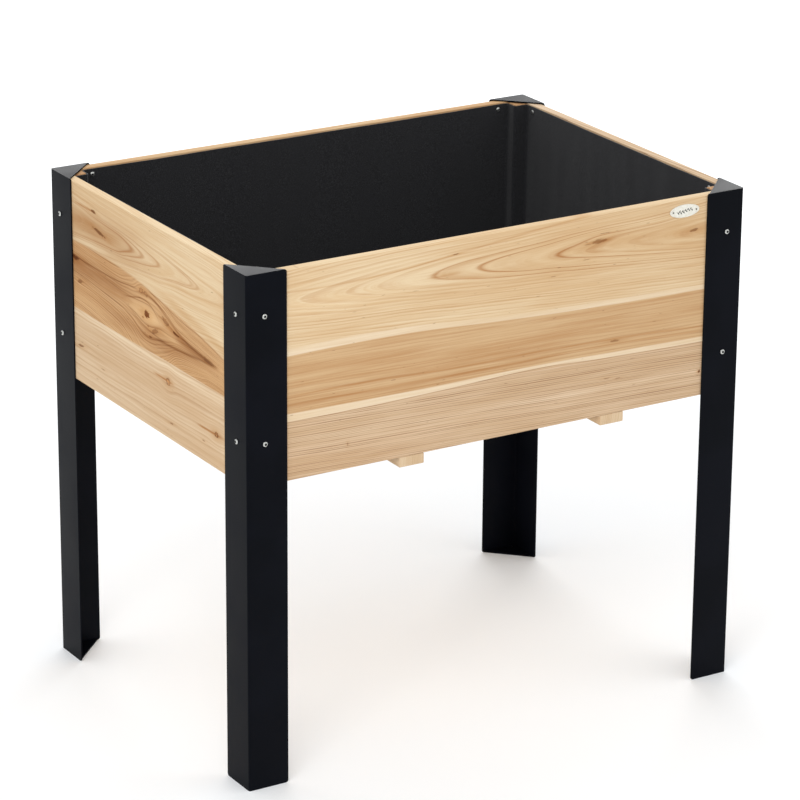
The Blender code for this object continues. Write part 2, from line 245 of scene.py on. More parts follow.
class Knot(NamedTuple):
    """A knot, or a stroke of dark wood. Lengths in millimetres."""

    along: float
    height: float
    length: float  # half of it
    thickness: float  # half of it
    dark: float
    swirl: float = 0.0  # how far the grain is pushed aside, from 0 to 1
    slope: float = 0.0
    hollow: float = 0.0  # how light the middle is


class Streak(NamedTuple):
    """A stain, or a lighter band, that runs along the grain through a few points. Lengths in millimetres."""

    stain: tuple
    strength: float
    thickness: float
    points: tuple
    start: float = -1000.0  # where along the wall it begins
    end: float = 1000.0
    fade: float = 25.0  # the length over which it begins and ends


class Border(NamedTuple):
    """Where one timber's colour gives way to the next one below it. Lengths in millimetres."""

    softness: float
    points: tuple


class Wall(NamedTuple):
    """The wood of one wall, its timbers and their borders from the top down."""

    timbers: tuple
    borders: tuple
    streaks: tuple
    knots: tuple
    seed: float


SAPWOOD = Timber(
    tone(233, 212, 182), tone(226, 201, 166), tone(214, 182, 138),
    heart=0.9, depth=0.02, tilt=0.02, ring=0.006, strength=0.25, wander=0.004,
)
PALE = Timber(
    tone(228, 204, 167), tone(216, 184, 142), tone(188, 139, 90),
    heart=0.7098, depth=0.035, tilt=0.04, ring=0.0033, strength=0.62, wander=0.009,
)
TAN = Timber(
    tone(210, 176, 134), tone(194, 152, 108), tone(167, 115, 68),
    heart=0.8, depth=0.03, tilt=0.02, ring=0.0046, strength=0.4, wander=0.008,
)
ROSY = Timber(
    tone(219, 191, 159), tone(204, 172, 136), tone(140, 98, 64),
    heart=0.8, depth=0.03, tilt=0.034, ring=0.0026, strength=1.0, wander=0.004,
)
BROWN = Timber(
    tone(215, 175, 129), tone(197, 152, 105), tone(142, 90, 48),
    heart=0.6205, depth=0.007, tilt=-0.012, ring=0.0035, strength=0.8, wander=0.009, lean=-0.075,
    crowding=(
        (-0.23, 1.2), (-0.1, 1.1), (-0.05, 0.78), (0.0, 0.5), (0.045, 0.62), (0.09, 1.2), (0.16, 1.9),
        (0.2, 2.3), (0.23, 2.2),
    ),
)
FRESH = Timber(
    tone(221, 194, 160), tone(209, 177, 140), tone(171, 124, 80),
    heart=0.42, depth=0.05, tilt=-0.006, ring=0.0056, strength=0.55, wander=0.014,
)
POST = Timber(
    tone(203, 160, 114), tone(172, 126, 84), tone(120, 78, 46),
    heart=0.0, depth=0.03, tilt=0.004, ring=0.0032, strength=0.7, wander=0.006,
)
BATTEN = Timber(
    tone(224, 200, 167), tone(210, 181, 145), tone(188, 150, 110),
    heart=0.44, depth=0.03, tilt=0.01, ring=0.003, strength=0.4, wander=0.006,
)
SLAT = Timber(
    tone(222, 190, 146), tone(204, 165, 118), tone(168, 122, 78),
    heart=0.46, depth=0.02, tilt=0.02, ring=0.004, strength=0.6, wander=0.01,
)

KNOT_HEART = tone(206, 152, 100)
FIBRE_LINE = tone(176, 118, 66)
ARCH_BROWN = tone(178, 122, 70)
ARCH_THICKNESS = 0.00024

# How much of the red, green and blue light each stain leaves. Over 1, it is lighter than the wood around it.
KNOT_STAIN = (0.25, 0.11, 0.035, 1.0)
RUST_STAIN = (0.8, 0.62, 0.42, 1.0)
RUSSET = (0.43, 0.26, 0.14, 1.0)
CHESTNUT = (0.6, 0.45, 0.33, 1.0)
ORANGE = (0.72, 0.5, 0.3, 1.0)
HONEY = (0.82, 0.67, 0.51, 1.0)
AMBER = (0.66, 0.49, 0.36, 1.0)
CREAM = (1.18, 1.27, 1.36, 1.0)
BUTTER = (1.22, 1.34, 1.44, 1.0)

FRONT = Wall(
    timbers=(PALE._replace(lean=-0.01, arches=(-0.113, -0.038, 0.092)), SAPWOOD, TAN, SAPWOOD, ROSY),
    borders=(
        Border(2, ((-350, 643.5), (-170, 644.5), (0, 633), (170, 627.2), (350, 623.2))),
        Border(1, ((-350, 634), (-150, 634.5), (0, 626.5), (150, 620.5), (350, 616.5))),
        Border(1.2, ((-350, 551), (-100, 549), (50, 550), (200, 547), (350, 544))),
        Border(0.6, ((-350, 539), (-100, 541), (50, 545.5), (180, 540.5), (350, 536.5))),
    ),
    streaks=(
        Streak(HONEY, 0.42, 42, ((-350, 710), (0, 710), (350, 690)), start=-160, fade=250),
        Streak(HONEY, 0.4, 8, ((-350, 714), (0, 713), (350, 708)), start=50, fade=80),
        Streak(HONEY, 0.55, 3, ((-350, 710), (-100, 710), (350, 710)), start=-116, end=-60, fade=20),
        Streak(CREAM, 0.45, 14, ((-350, 704), (-200, 700), (350, 690)), end=-100, fade=150),
        Streak(ORANGE, 0.5, 1.4, ((-350, 725), (-220, 725), (-80, 736.5), (50, 750), (350, 775))),
        Streak(ORANGE, 0.6, 1.6, ((-350, 575), (-250, 576), (-100, 571), (120, 569), (350, 560))),
        Streak(ORANGE, 0.5, 2, ((-350, 563), (-200, 562), (0, 560), (150, 560), (350, 553))),
        Streak(RUSSET, 0.55, 0.6, ((-350, 538.5), (-100, 540.5), (50, 545), (180, 540), (350, 536))),
        Streak(CREAM, 0.45, 3, ((-350, 512), (-200, 504), (0, 499), (200, 494), (350, 491))),
        Streak(ORANGE, 0.6, 2.2, ((-350, 716), (150, 717.5), (350, 719)), start=128, end=190, fade=20),
        Streak(HONEY, 0.38, 20, ((-350, 475), (0, 462), (350, 455)), end=-50, fade=200),
    ),
    knots=(
        Knot(162, 718, 13, 3.6, 0.5, 0.6, 0.06),
        Knot(325, 709, 8, 2.4, 0.62, 0.4, 0.1),
        Knot(193, 564, 8.5, 1.8, 0.5, 0.4, -0.05),
        Knot(-78, 737, 5, 0.8, 0.7, 0.0, 0.05),
        Knot(343, 491, 2, 2.2, 0.95),
        Knot(-250, 490, 1.2, 2.8, 0.4),
        Knot(172, 728.5, 10, 0.6, 0.55),
        Knot(85, 678, 4, 0.6, 0.55),
        Knot(140, 694, 6, 0.6, 0.45),
        Knot(180, 509, 5, 0.6, 0.55),
        Knot(200, 506, 4, 0.6, 0.55),
    ),
    seed=1.0,
)

LEFT = Wall(
    timbers=(
        PALE._replace(
            heart=0.7035, tilt=-0.04, ring=0.0035, strength=0.42, wander=0.012,
            arches=(0.152, 0.135, 0.038, -0.012, -0.045),
        ),
        BROWN,
        FRESH,
    ),
    borders=(
        Border(2.2, ((-230, 668), (-50, 665), (50, 652), (130, 640), (230, 620))),
        Border(0.7, ((-230, 566), (-50, 566), (50, 568), (130, 568), (230, 568))),
    ),
    streaks=(
        Streak(AMBER, 1.0, 25, ((-230, 697), (0, 702), (230, 700)), end=50, fade=170),
        Streak(CREAM, 0.22, 3.5, ((-230, 675), (0, 672), (100, 664), (230, 644))),
        Streak(HONEY, 0.6, 8, ((-230, 668), (50, 662), (130, 651), (230, 632)), start=0, fade=80),
        Streak(CHESTNUT, 0.75, 15, ((-230, 636), (-100, 632), (0, 634), (230, 604)), end=10, fade=120),
        Streak(
            CHESTNUT, 0.42, 11, ((-230, 600), (-50, 588), (40, 586), (120, 595), (230, 602)),
            start=-160, end=220, fade=80,
        ),
        Streak(BUTTER, 0.9, 11, ((-230, 620), (0, 621), (50, 617), (230, 610)), start=-70, end=52, fade=40),
        Streak(BUTTER, 0.5, 3, ((-230, 612), (40, 610), (70, 606), (230, 603)), start=30, end=100),
        Streak(RUSSET, 0.55, 1.3, ((-230, 646), (-100, 645), (-30, 650), (230, 640)), end=-20),
        Streak(RUSSET, 0.4, 1.2, ((-230, 622), (-100, 613), (-30, 606), (230, 600)), end=-20),
        Streak(
            RUSSET, 0.65, 1.2, ((-230, 622), (-60, 631), (-5, 640), (22, 631), (45, 606)),
            start=-78, end=45,
        ),
        Streak(
            RUSSET, 0.55, 1.2, ((-230, 624), (-60, 616), (-10, 601.5), (30, 596), (230, 600)),
            start=-70, end=60,
        ),
        Streak(
            RUSSET, 0.75, 2.4, ((-230, 652), (10, 649), (60, 633), (110, 615), (230, 600)),
            start=-10, end=215, fade=40,
        ),
        Streak(
            CHESTNUT, 0.8, 5.5, ((-230, 640), (50, 622), (100, 611), (160, 605), (230, 602)),
            start=60, end=220, fade=50,
        ),
        Streak(
            RUSSET, 0.65, 2, ((-230, 590), (20, 592), (90, 595), (160, 600), (230, 604)),
            start=0, end=215, fade=50,
        ),
        Streak(
            RUSSET, 0.5, 1.1, ((-230, 664), (20, 655), (90, 642), (160, 633), (230, 618)),
            start=0, end=230,
        ),
        Streak(CREAM, 0.5, 16, ((-230, 583), (0, 580), (230, 580)), end=-60, fade=150),
        Streak(
            CHESTNUT, 0.35, 3, ((-230, 650), (50, 646), (100, 634), (160, 624), (230, 612)),
            start=30, end=230, fade=50,
        ),
        Streak(CREAM, 0.7, 6, ((-230, 560), (-50, 560), (50, 560), (230, 556))),
        Streak(ORANGE, 1.0, 1.6, ((-230, 541), (40, 539.5), (230, 539)), start=10, end=85),
        Streak(ORANGE, 1.1, 1.6, ((-230, 504), (180, 503.5), (230, 504.5)), start=140, end=225),
        Streak(ORANGE, 0.8, 1.4, ((-230, 729), (-180, 728), (230, 728)), start=-225, end=-150),
    ),
    knots=(
        Knot(0, 620.5, 8.5, 5.8, 1.0, 0.6),
        Knot(-17, 651, 6.5, 4.2, 0.6, 0.5, 0.1, 0.6),
        Knot(-3, 650, 6, 3.8, 0.5, 0.4, -0.1, 0.6),
        Knot(56, 626, 10.5, 4.8, 0.6, 0.3, -0.3, 0.25),
        Knot(86, 616.5, 11, 2.2, 0.85, 0.3, -0.15),
        Knot(24, 602, 11, 3.8, 0.6, 0.3, 0.35, 0.2),
        Knot(10, 590, 6, 1.6, 0.6, 0.2, 0.1),
        Knot(-12, 613, 2.2, 1.6, 0.6),
        Knot(3, 604, 2.2, 1.4, 0.5),
        Knot(-222, 643, 11, 3.6, 0.9, 0.5),
        Knot(-208, 610.5, 9, 3.2, 0.6, 0.4, 0.2),
        Knot(182, 605, 20, 3.6, 0.35, 0.3, -0.1),
        Knot(-162, 728.5, 8, 2.4, 0.85, 0.4, -0.1),
        Knot(-145, 702, 19.5, 2.8, 0.75, 0.5, -0.16),
        Knot(61, 539, 6, 6.2, 0.75, 0.6, 0.0, 0.85),
        Knot(202, 504.5, 5.6, 4.4, 1.0, 0.6, 0.0, 0.65),
        Knot(-210, 511, 9, 2, 0.75, 0.3, 0.08),
        Knot(-140, 495, 6, 0.9, 0.5, 0.2),
        Knot(165, 484, 4.5, 1, 0.6, 0.2),
        Knot(70, 479, 6.5, 1.4, 0.5, 0.2, 0.1),
    ),
    seed=4.0,
)

BACK = Wall(
    timbers=(
        TAN._replace(heart=0.69, tilt=0.036, depth=0.028, ring=0.004, arches=(-0.06, 0.105)),
        SAPWOOD,
        PALE._replace(heart=0.588, tilt=-0.038, arches=(0.15, 0.02, -0.11)),
        ROSY._replace(tilt=-0.02),
    ),
    borders=(
        Border(1, ((-410, 622), (-150, 626), (0, 631), (170, 628), (410, 622))),
        Border(2.8, ((-410, 612), (-150, 614), (0, 622), (170, 616), (410, 610))),
        Border(0.8, ((-410, 537), (0, 537), (410, 537))),
    ),
    streaks=(
        Streak(ORANGE, 0.5, 1.8, ((-410, 640), (0, 650), (170, 647), (410, 640))),
        Streak(HONEY, 0.5, 20, ((-410, 588), (0, 588), (410, 588)), end=50, fade=250),
        Streak(CREAM, 0.45, 3, ((-410, 488), (0, 494), (170, 497), (410, 500))),
    ),
    knots=(
        Knot(-205, 703, 10, 6, 0.85, 0.8, 0.1, 0.3),
        Knot(118, 586, 7, 3.6, 0.6, 0.5),
        Knot(262, 672, 6, 2.2, 0.55, 0.4, -0.1),
        Knot(-60, 480, 5, 3, 0.75, 0.5, 0.0, 0.4),
        Knot(40, 729, 10, 1.2, 0.5, 0.2),
    ),
    seed=9.0,
)

RIGHT = Wall(
    timbers=(
        ROSY._replace(heart=0.7, tilt=0.036, depth=0.03, ring=0.0036, strength=0.6, arches=(-0.09, 0.06)),
        FRESH._replace(heart=0.61, tilt=-0.038, depth=0.03, ring=0.0038, arches=(0.11, -0.02)),
        TAN._replace(tilt=-0.02),
    ),
    borders=(
        Border(0.8, ((-280, 644.7), (0, 644.7), (280, 644.7))),
        Border(0.8, ((-280, 566.7), (0, 566.7), (280, 566.7))),
    ),
    streaks=(
        Streak(CREAM, 0.6, 4, ((-280, 652), (0, 655), (120, 654), (280, 651))),
        Streak(ORANGE, 0.5, 2, ((-280, 520), (-100, 524), (120, 516), (280, 512))),
    ),
    knots=(
        Knot(85, 708, 8.5, 5.5, 0.85, 0.8, 0.1, 0.3),
        Knot(-130, 604, 6, 4.5, 0.7, 0.6, 0.0, 0.5),
        Knot(-40, 505, 7, 2.6, 0.55, 0.4, 0.1),
        Knot(170, 590, 8, 1.6, 0.55, 0.3, -0.1),
    ),
    seed=14.0,
)

WALLS = {"front": FRONT, "back": BACK, "left": LEFT, "right": RIGHT}
LEVELS = ("top", "middle", "bottom")

PER_METRE = 1000
CURVE_REACH = 0.45  # half of the length over which a wall's lines are drawn
LINE_LOW = 0.40  # the lowest and the highest place of a line
LINE_HIGH = 0.80
MOST_CROWDED = 3.0
TIMBER_SEED_STEP = 1.7  # between the seeds of a wall's boards
TOP_HIGHLIGHT_DEPTH = 0.0012  # how far down the painted highlight on the walls' top edges reaches
RING_UNEVENNESS = 2.2  # in rings
LATE_WOOD = (0.38, 0.90, 0.92)  # where in a ring it begins, is darkest and ends
STREAK_SWAY = 0.003
KNOT_PUSH = (3.2, 3.0)  # how far a knot pushes the grain aside, along and across it, in knots
KNOT_SURROUND = (2.6, 1.8)  # how far its stain reaches
KNOT_RAGGED = 2.6
KNOT_BODY = (0.40, 1.20)  # the squared distances between which it fades out
KNOT_MIDDLE = (0.15, 0.55)
FIBRE_LENGTH_SCALE = 14.0
FIBRE_WIDTH_SCALE = 900.0
FIBRE_HIGHLIGHT = tone(248, 232, 204)
PLANED = (0.00008, 0.5)  # depth and strength of the fibres' relief
ROUGH_SAWN = (0.00012, 0.6)


def in_metres(lengths):
    """The same lengths, or points, in metres."""
    if isinstance(lengths, tuple):
        return tuple(in_metres(length) for length in lengths)
    return lengths / PER_METRE


def smooth_line(graph, along, points, low=LINE_LOW, high=LINE_HIGH):
    """A value between low and high that follows a smooth curve along the wall through the points."""
    knobs = []
    for place, value in points:
        share = (place + CURVE_REACH) / (2 * CURVE_REACH)
        knobs.append((min(max(share, 0.0), 1.0), (value - low) / (high - low)))
    share = (along + CURVE_REACH) / (2 * CURVE_REACH)
    return graph.add("ShaderNodeFloatCurve", {"points": knobs}, {"Value": share}) * (high - low) + low


def growth_rings(graph, timber, along, height, depth, seed):
    """The distance from the heart's cone at a point of the board, in rings and in metres."""
    stray = graph.cloud(along * 5.0, height * 22.0, seed) - 0.5
    run = height - timber.heart - along * timber.lean + stray * timber.wander
    if timber.crowding:
        run = run * smooth_line(graph, along, timber.crowding, 0.0, MOST_CROWDED)
    heart_depth = depth + timber.depth
    reach = (run * run + heart_depth * heart_depth) ** 0.5 - along * timber.tilt
    ring = reach / timber.ring
    uneven = graph.cloud(along * 1.5, ring * 0.35, seed + 7.0, detail=1.0)
    return ring + uneven * RING_UNEVENNESS, reach


def late_wood(graph, ring, along, height, seed):
    """Where the dark late wood of each ring comes to the surface, from 0 to 1."""
    count = ring.math("FLOOR")
    within = ring - count
    begins, darkest, ends = LATE_WOOD
    late = graph.rise(within, begins, darkest) * graph.rise(within, ends, 1.0, 1.0, 0.0)
    weight = graph.chance(count, seed) * 0.75 + 0.25
    fading = graph.cloud(along * 9.0, height * 120.0, seed + 3.0, detail=1.0)
    return late * weight * graph.rise(fading, 0.30, 0.62, 0.45, 1.0)


def timber_colour(graph, timber, along, height, depth, seed):
    ring, reach = growth_rings(graph, timber, along, height, depth, seed)
    patch = graph.cloud(along * 3.0, height * 26.0, seed + 5.0)
    streaks = graph.cloud(along * 4.0, ring * 1.6, seed + 2.0, detail=4.0, roughness=0.72)
    ground = graph.blend(graph.rise(patch * 0.42 + streaks * 0.58, 0.38, 0.62), timber.light, timber.deep)
    lines = late_wood(graph, ring, along, height, seed) * timber.strength
    colour = graph.blend(lines, ground, timber.line)
    for tip in timber.arches:
        away = (reach - (timber.depth - tip * timber.tilt)) / ARCH_THICKNESS
        arch = away.bell() * graph.rise(streaks, 0.25, 0.55, 0.40, 1.30) * timber.strength
        colour = graph.blend(arch, colour, ARCH_BROWN)
    return colour


def knot_reach(knot, along, height, scale_along=1.0, scale_height=1.0):
    """The squared distance from a knot's centre, where 1 is its rim."""
    middle, middle_height, length, thickness = in_metres(knot[:4])
    side = along - middle
    rise = height - middle_height - side * knot.slope
    side = side / (length * scale_along)
    rise = rise / (thickness * scale_height)
    return side * side + rise * rise


def push_grain(knots, along, height):
    """The height that the grain would have had if the knots hadn't pushed it aside."""
    pushed = height
    for knot in knots:
        if knot.swirl:
            hold = (-knot_reach(knot, along, height, *KNOT_PUSH)).math("EXPONENT") * knot.swirl
            pushed = pushed - (height - in_metres(knot.height)) * hold
    return pushed


def add_knots(graph, colour, knots, along, height, ragged):
    """Stains each knot's surround and its body, and lightens the middle of a hollow one."""
    for knot in knots:
        around = knot_reach(knot, along, height, *KNOT_SURROUND) + ragged
        colour = graph.stain((-around).math("EXPONENT") * (0.70 * knot.dark), colour, RUST_STAIN)
        reach = knot_reach(knot, along, height) + ragged * KNOT_RAGGED
        colour = graph.stain(graph.rise(reach, *KNOT_BODY, 0.95 * knot.dark, 0.0), colour, KNOT_STAIN)
        if knot.hollow:
            colour = graph.blend(graph.rise(reach, *KNOT_MIDDLE, knot.hollow, 0.0), colour, KNOT_HEART)
    return colour


def add_streaks(graph, colour, streaks, along, height, sway):
    for streak in streaks:
        thickness, points, start, end, fade = in_metres(streak[2:])
        away = (height - smooth_line(graph, along, points) + (sway - 0.5) * STREAK_SWAY) / thickness
        ends = graph.rise(along, start, start + fade)
        ends = ends * graph.rise(along, end - fade, end, 1.0, 0.0)
        band = away.bell() * (sway * 1.2 + 0.35) * ends * streak.strength
        colour = graph.stain(band, colour, streak.stain)
    return colour


def add_fibres(graph, colour, along, height, depth, seed, relief):
    """Fine fibres and small dark flecks. Returns the colour and the surface's direction."""
    across, into = height * FIBRE_WIDTH_SCALE, depth * FIBRE_WIDTH_SCALE
    fibre = graph.cloud(along * FIBRE_LENGTH_SCALE, across, into, roughness=0.6)
    colour = graph.blend(graph.rise(fibre, 0.42, 0.78) * 0.16, colour, FIBRE_LINE)
    colour = graph.blend(graph.rise(fibre, 0.20, 0.50, 0.10, 0.0), colour, FIBRE_HIGHLIGHT)
    flecks = graph.cloud(along * 60.0, height * 420.0, seed, detail=1.0)
    colour = graph.stain(graph.rise(flecks, 0.735, 0.80) * 0.50, colour, KNOT_STAIN)
    return colour, graph.bump(fibre, *relief)


def wall_wood(side):
    """The edge-glued boards of one wall, painted as one, because the colours cross the glue lines."""
    wall = WALLS[side]
    wood = Finish(side + "_wall_fir", Roughness=0.62, Specular_IOR_Level=0.03)
    x, y, height = wood.split(wood.place())
    low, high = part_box(side + "_top_board")
    along, depth = {
        "front": (x, y - low.y),
        "back": (-x, high.y - y),
        "left": (-y, x - low.x),
        "right": (y, high.x - x),
    }[side]
    pushed = push_grain(wall.knots, along, height)
    colour = timber_colour(wood, wall.timbers[0], along, pushed, depth, wall.seed)
    for index, (timber, border) in enumerate(zip(wall.timbers[1:], wall.borders), start=1):
        board = timber_colour(wood, timber, along, pushed, depth, wall.seed + index * TIMBER_SEED_STEP)
        softness, points = in_metres(border)
        edge = smooth_line(wood, along, points)
        below = wood.rise(height - edge, -softness, softness, 1.0, 0.0)
        colour = wood.blend(below, colour, board)
    sway = wood.cloud(along * 7.0, height * 30.0, wall.seed + 11.0)
    colour = add_streaks(wood, colour, wall.streaks, along, height, sway)
    ragged = wood.cloud(along * 160.0, height * 420.0, wall.seed, detail=3.0) - 0.5
    colour = add_knots(wood, colour, wall.knots, along, height, ragged)
    # Painted highlight: the walls' top faces and top edges are lightened to cream, as where light falls from
    # above.
    top_highlight = wood.rise(height, high.z - TOP_HIGHLIGHT_DEPTH, high.z - TOP_HIGHLIGHT_DEPTH * 0.25) * 0.6
    colour = wood.stain(top_highlight, colour, CREAM)
    colour, relief = add_fibres(wood, colour, along, height, depth, wall.seed, PLANED)
    return wood.shade(Base_Color=colour, Normal=relief)


def strip_wood(name, timber, axis, seed, roughness, sliced=None):
    """Solid wood of a strip that runs along an axis. Sliced is the pitch of strips that differ in grain."""
    wood = Finish(name, Roughness=roughness, Specular_IOR_Level=0.1)
    x, y, z = wood.split(wood.place())
    along, across, up = {"x": (x, y, z), "y": (y, x, z), "z": (z, x, y)}[axis]
    if sliced:
        piece = (across / sliced).math("FLOOR")
        along = along + wood.chance(piece, seed) * 3.0
        across = across + wood.chance(piece, seed + 1.0) * 0.02
    colour = timber_colour(wood, timber, along, across, up - timber.heart, seed)
    colour, relief = add_fibres(wood, colour, along, across, up, seed, ROUGH_SAWN)
    return wood.shade(Base_Color=colour, Normal=relief)


# Other finishes


def powder_coat():
    coat = Finish("black_powder_coat", Specular_IOR_Level=0.050)
    place = coat.place()
    cloud = coat.noise(place, scale=9.0, detail=3.0)
    colour = coat.blend(coat.rise(cloud, 0.35, 0.65), tone(7, 9, 15), tone(11, 13, 20))
    speck = coat.noise(place, scale=2600.0, detail=1.0)
    colour = coat.blend(coat.rise(speck, 0.66, 0.80) * 0.35, colour, tone(28, 29, 33))
    peel = coat.noise(place, scale=900.0)
    roughness = coat.rise(cloud, 0.30, 0.70, 0.38, 0.48)
    return coat.shade(Base_Color=colour, Roughness=roughness, Normal=coat.bump(peel, 0.0001, 0.35))


def zinc():
    """Bright zinc plate, dull inside the sockets and darkened there with painted shade."""
    plate = Finish("zinc_plate", Metallic=1.0)
    spangle = plate.noise(plate.place(), scale=1400.0)
    colour = plate.blend(spangle, tone(192, 194, 192), tone(218, 218, 212))
    socket = plate.add("ShaderNodeAttribute", {"attribute_name": "socket"}, output="Fac")
    # Painted shade: the socket's rows are darkened to a dull grey, as in a shadowed recess.
    colour = plate.blend(socket, colour, tone(52, 52, 50))
    roughness = plate.rise(spangle, 0.3, 0.7, 0.24, 0.40) + socket * 0.3
    return plate.shade(Base_Color=colour, Roughness=roughness, Normal=plate.bump(spangle, 0.00003, 0.4))


def label_enamel():
    enamel = Finish("cream_enamel", Roughness=0.32)
    cloud = enamel.noise(enamel.place(), scale=240.0, detail=3.0)
    colour = enamel.blend(enamel.rise(cloud, 0.35, 0.65), tone(236, 233, 222), tone(226, 222, 208))
    return enamel.shade(Base_Color=colour, Normal=enamel.bump(cloud, 0.00005, 0.3))


def dark_ink():
    ink = Finish("dark_ink", Roughness=0.45)
    cloud = ink.noise(ink.place(), scale=1500.0)
    return ink.shade(Base_Color=ink.blend(ink.rise(cloud, 0.35, 0.70), tone(52, 54, 52), tone(88, 88, 82)))


def dull_pin():
    pin = Finish("dull_pin", Roughness=0.45, Metallic=1.0)
    cloud = pin.noise(pin.place(), scale=1800.0)
    return pin.shade(Base_Color=pin.blend(cloud, tone(70, 66, 60), tone(104, 98, 90)))


def liner_felt():
    """Matted black fibres, pressed flat, with paler lint on top and a soft sheen."""
    felt = Finish("black_felt", Roughness=0.90, Specular_IOR_Level=0.20)
    felt.shade(Sheen_Weight=0.30, Sheen_Roughness=0.45)
    place = felt.place()
    mat = felt.noise(place, scale=700.0, detail=4.0, roughness=0.7)
    cloud = felt.noise(place, scale=40.0, detail=3.0)
    lint = felt.noise(place, scale=1900.0, detail=1.0)
    colour = felt.blend(felt.rise(mat, 0.40, 0.70), tone(24, 24, 26), tone(50, 50, 53))
    colour = felt.blend(felt.rise(cloud, 0.40, 0.70) * 0.5, colour, tone(34, 34, 37))
    colour = felt.blend(felt.rise(lint, 0.70, 0.80) * 0.5, colour, tone(92, 92, 96))
    return felt.shade(Base_Color=colour, Normal=felt.bump(mat, 0.0006, 0.7))


# Shapes

CORNERS = ("front_left", "front_right", "back_left", "back_right")
EDGE_ROUND = 0.0010
EDGE_STEPS = 4


def add_to_scene(name, data):
    thing = bpy.data.objects.new(name, data)
    bpy.context.scene.collection.objects.link(thing)
    return thing


def mesh_object(name, shape, material):
    mesh = bpy.data.meshes.new(name)
    shape.to_mesh(mesh)
    shape.free()
    mesh.materials.append(material)
    return add_to_scene(name, mesh)


def finished_mesh(piece):
    """Turns a piece and its modifiers into a plain mesh piece."""
    bpy.context.view_layer.update()
    graph = bpy.context.evaluated_depsgraph_get()
    mesh = bpy.data.meshes.new_from_object(piece.evaluated_get(graph))
    piece.modifiers.clear()
    piece.data = mesh
    return piece


def stand_for(piece, nodes):
    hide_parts(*nodes)
    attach(piece, "root")


def smooth(piece, sharp):
    """Shades a piece smoothly, apart from the edges that turn by more than sharp degrees."""
    piece.data.shade_smooth()
    piece.data.set_sharp_from_angle(angle=math.radians(sharp))


def round_edges(shape, edges, radius, steps):
    bmesh.ops.bevel(
        shape, geom=edges, offset=radius, offset_type="OFFSET", segments=steps, profile=0.5, affect="EDGES"
    )


def extrude(shape, base, offset):
    """Draws a solid out of one face."""
    raised = bmesh.ops.extrude_face_region(shape, geom=[base])
    top = [item for item in raised["geom"] if isinstance(item, bmesh.types.BMVert)]
    bmesh.ops.translate(shape, vec=offset, verts=top)


def bridge(shape, first, second):
    """Joins two closed rows of points with faces. Either row may be a single point."""
    steps = max(len(first), len(second))
    for step in range(steps):
        after = (step + 1) % steps
        near = [first[step % len(first)], second[step % len(second)]]
        far = [second[after % len(second)], first[after % len(first)]]
        shape.faces.new(list(dict.fromkeys(near + far)))


def strip(name, node, material, grow=(0.0, 0.0)):
    """Planed wood in a node's box. Grow lengthens it downwards and upwards, to meet a glued neighbour."""
    low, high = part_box(node)
    low = low - Vector((0, 0, grow[0]))
    high = high + Vector((0, 0, grow[1]))
    shape = bmesh.new()
    bmesh.ops.create_cube(shape, size=1.0)
    bmesh.ops.scale(shape, vec=high - low, verts=shape.verts)
    bmesh.ops.translate(shape, vec=(low + high) / 2, verts=shape.verts)

    def is_free(edge):
        first, second = (vertex.co for vertex in edge.verts)
        if abs(first.z - second.z) > EDGE_ROUND:
            return True
        middle = (first.z + second.z) / 2
        return not ((grow[0] and middle < low.z + EDGE_ROUND) or (grow[1] and middle > high.z - EDGE_ROUND))

    round_edges(shape, [edge for edge in shape.edges if is_free(edge)], EDGE_ROUND, EDGE_STEPS)
    piece = mesh_object(name, shape, material)
    smooth(piece, sharp=60)
    stand_for(piece, [node])


def build_walls():
    glue = (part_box("front_middle_board")[0].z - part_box("front_bottom_board")[1].z) / 2
    for side in WALLS:
        material = wall_wood(side)
        for level in LEVELS:
            below = 0.0 if level == "bottom" else glue
            above = 0.0 if level == "top" else glue
            node = f"{side}_{level}_board"
            strip(f"{side}_{level}_plank", node, material, (below, above))


def build_posts_and_battens():
    post_wood = strip_wood("post_fir", POST, "z", seed=21.0, roughness=0.72)
    for corner in CORNERS:
        strip(f"{corner}_corner_strip", f"{corner}_post", post_wood)
    batten_wood = strip_wood("batten_fir", BATTEN, "y", seed=31.0, roughness=0.66)
    for side in ("left", "right"):
        strip(f"{side}_bearer", f"{side}_batten", batten_wood)


# Legs, which are folded from sheet

LEG_TURNS = {"front_left": 0, "front_right": 90, "back_right": 180, "back_left": 270}
SHEET = 0.0020
FOLD_INNER_RADIUS = 0.0010
FOLD_STEPS = 10
FLANGE_CORNER_RADIUS = 0.0040
FLANGE_CORNER_STEPS = 8
DRAIN_HOLE_RADIUS = 0.0025
DRAIN_HOLE_INSET = 0.0055
DRAIN_HOLE_STEPS = 32
LEG_EDGE_EASE = 0.00035
LEG_EASE_STEPS = 3
LEG_EASE_ANGLE = 40  # the least turn of an edge that is eased


def fold_arc(centre, radius):
    """The outside or the inside of the fold, seen from above."""
    points = []
    for step in range(FOLD_STEPS + 1):
        angle = math.radians(180 + 90 * step / FOLD_STEPS)
        points.append((centre + radius * math.cos(angle), centre + radius * math.sin(angle)))
    return points


def prism(outline, low, high):
    shape = bmesh.new()
    base = shape.faces.new([shape.verts.new((x, y, low)) for x, y in outline])
    extrude(shape, base, (0, 0, high - low))
    bmesh.ops.recalc_face_normals(shape, faces=shape.faces)
    return shape


def cut_away(piece, name, shape, material):
    """Cuts a shape out of a piece."""
    tool = mesh_object(name, shape, material)
    modifier = piece.modifiers.new("cut", "BOOLEAN")
    modifier.operation = "DIFFERENCE"
    modifier.solver = "EXACT"
    modifier.object = tool
    finished_mesh(piece)
    bpy.data.objects.remove(tool, do_unlink=True)


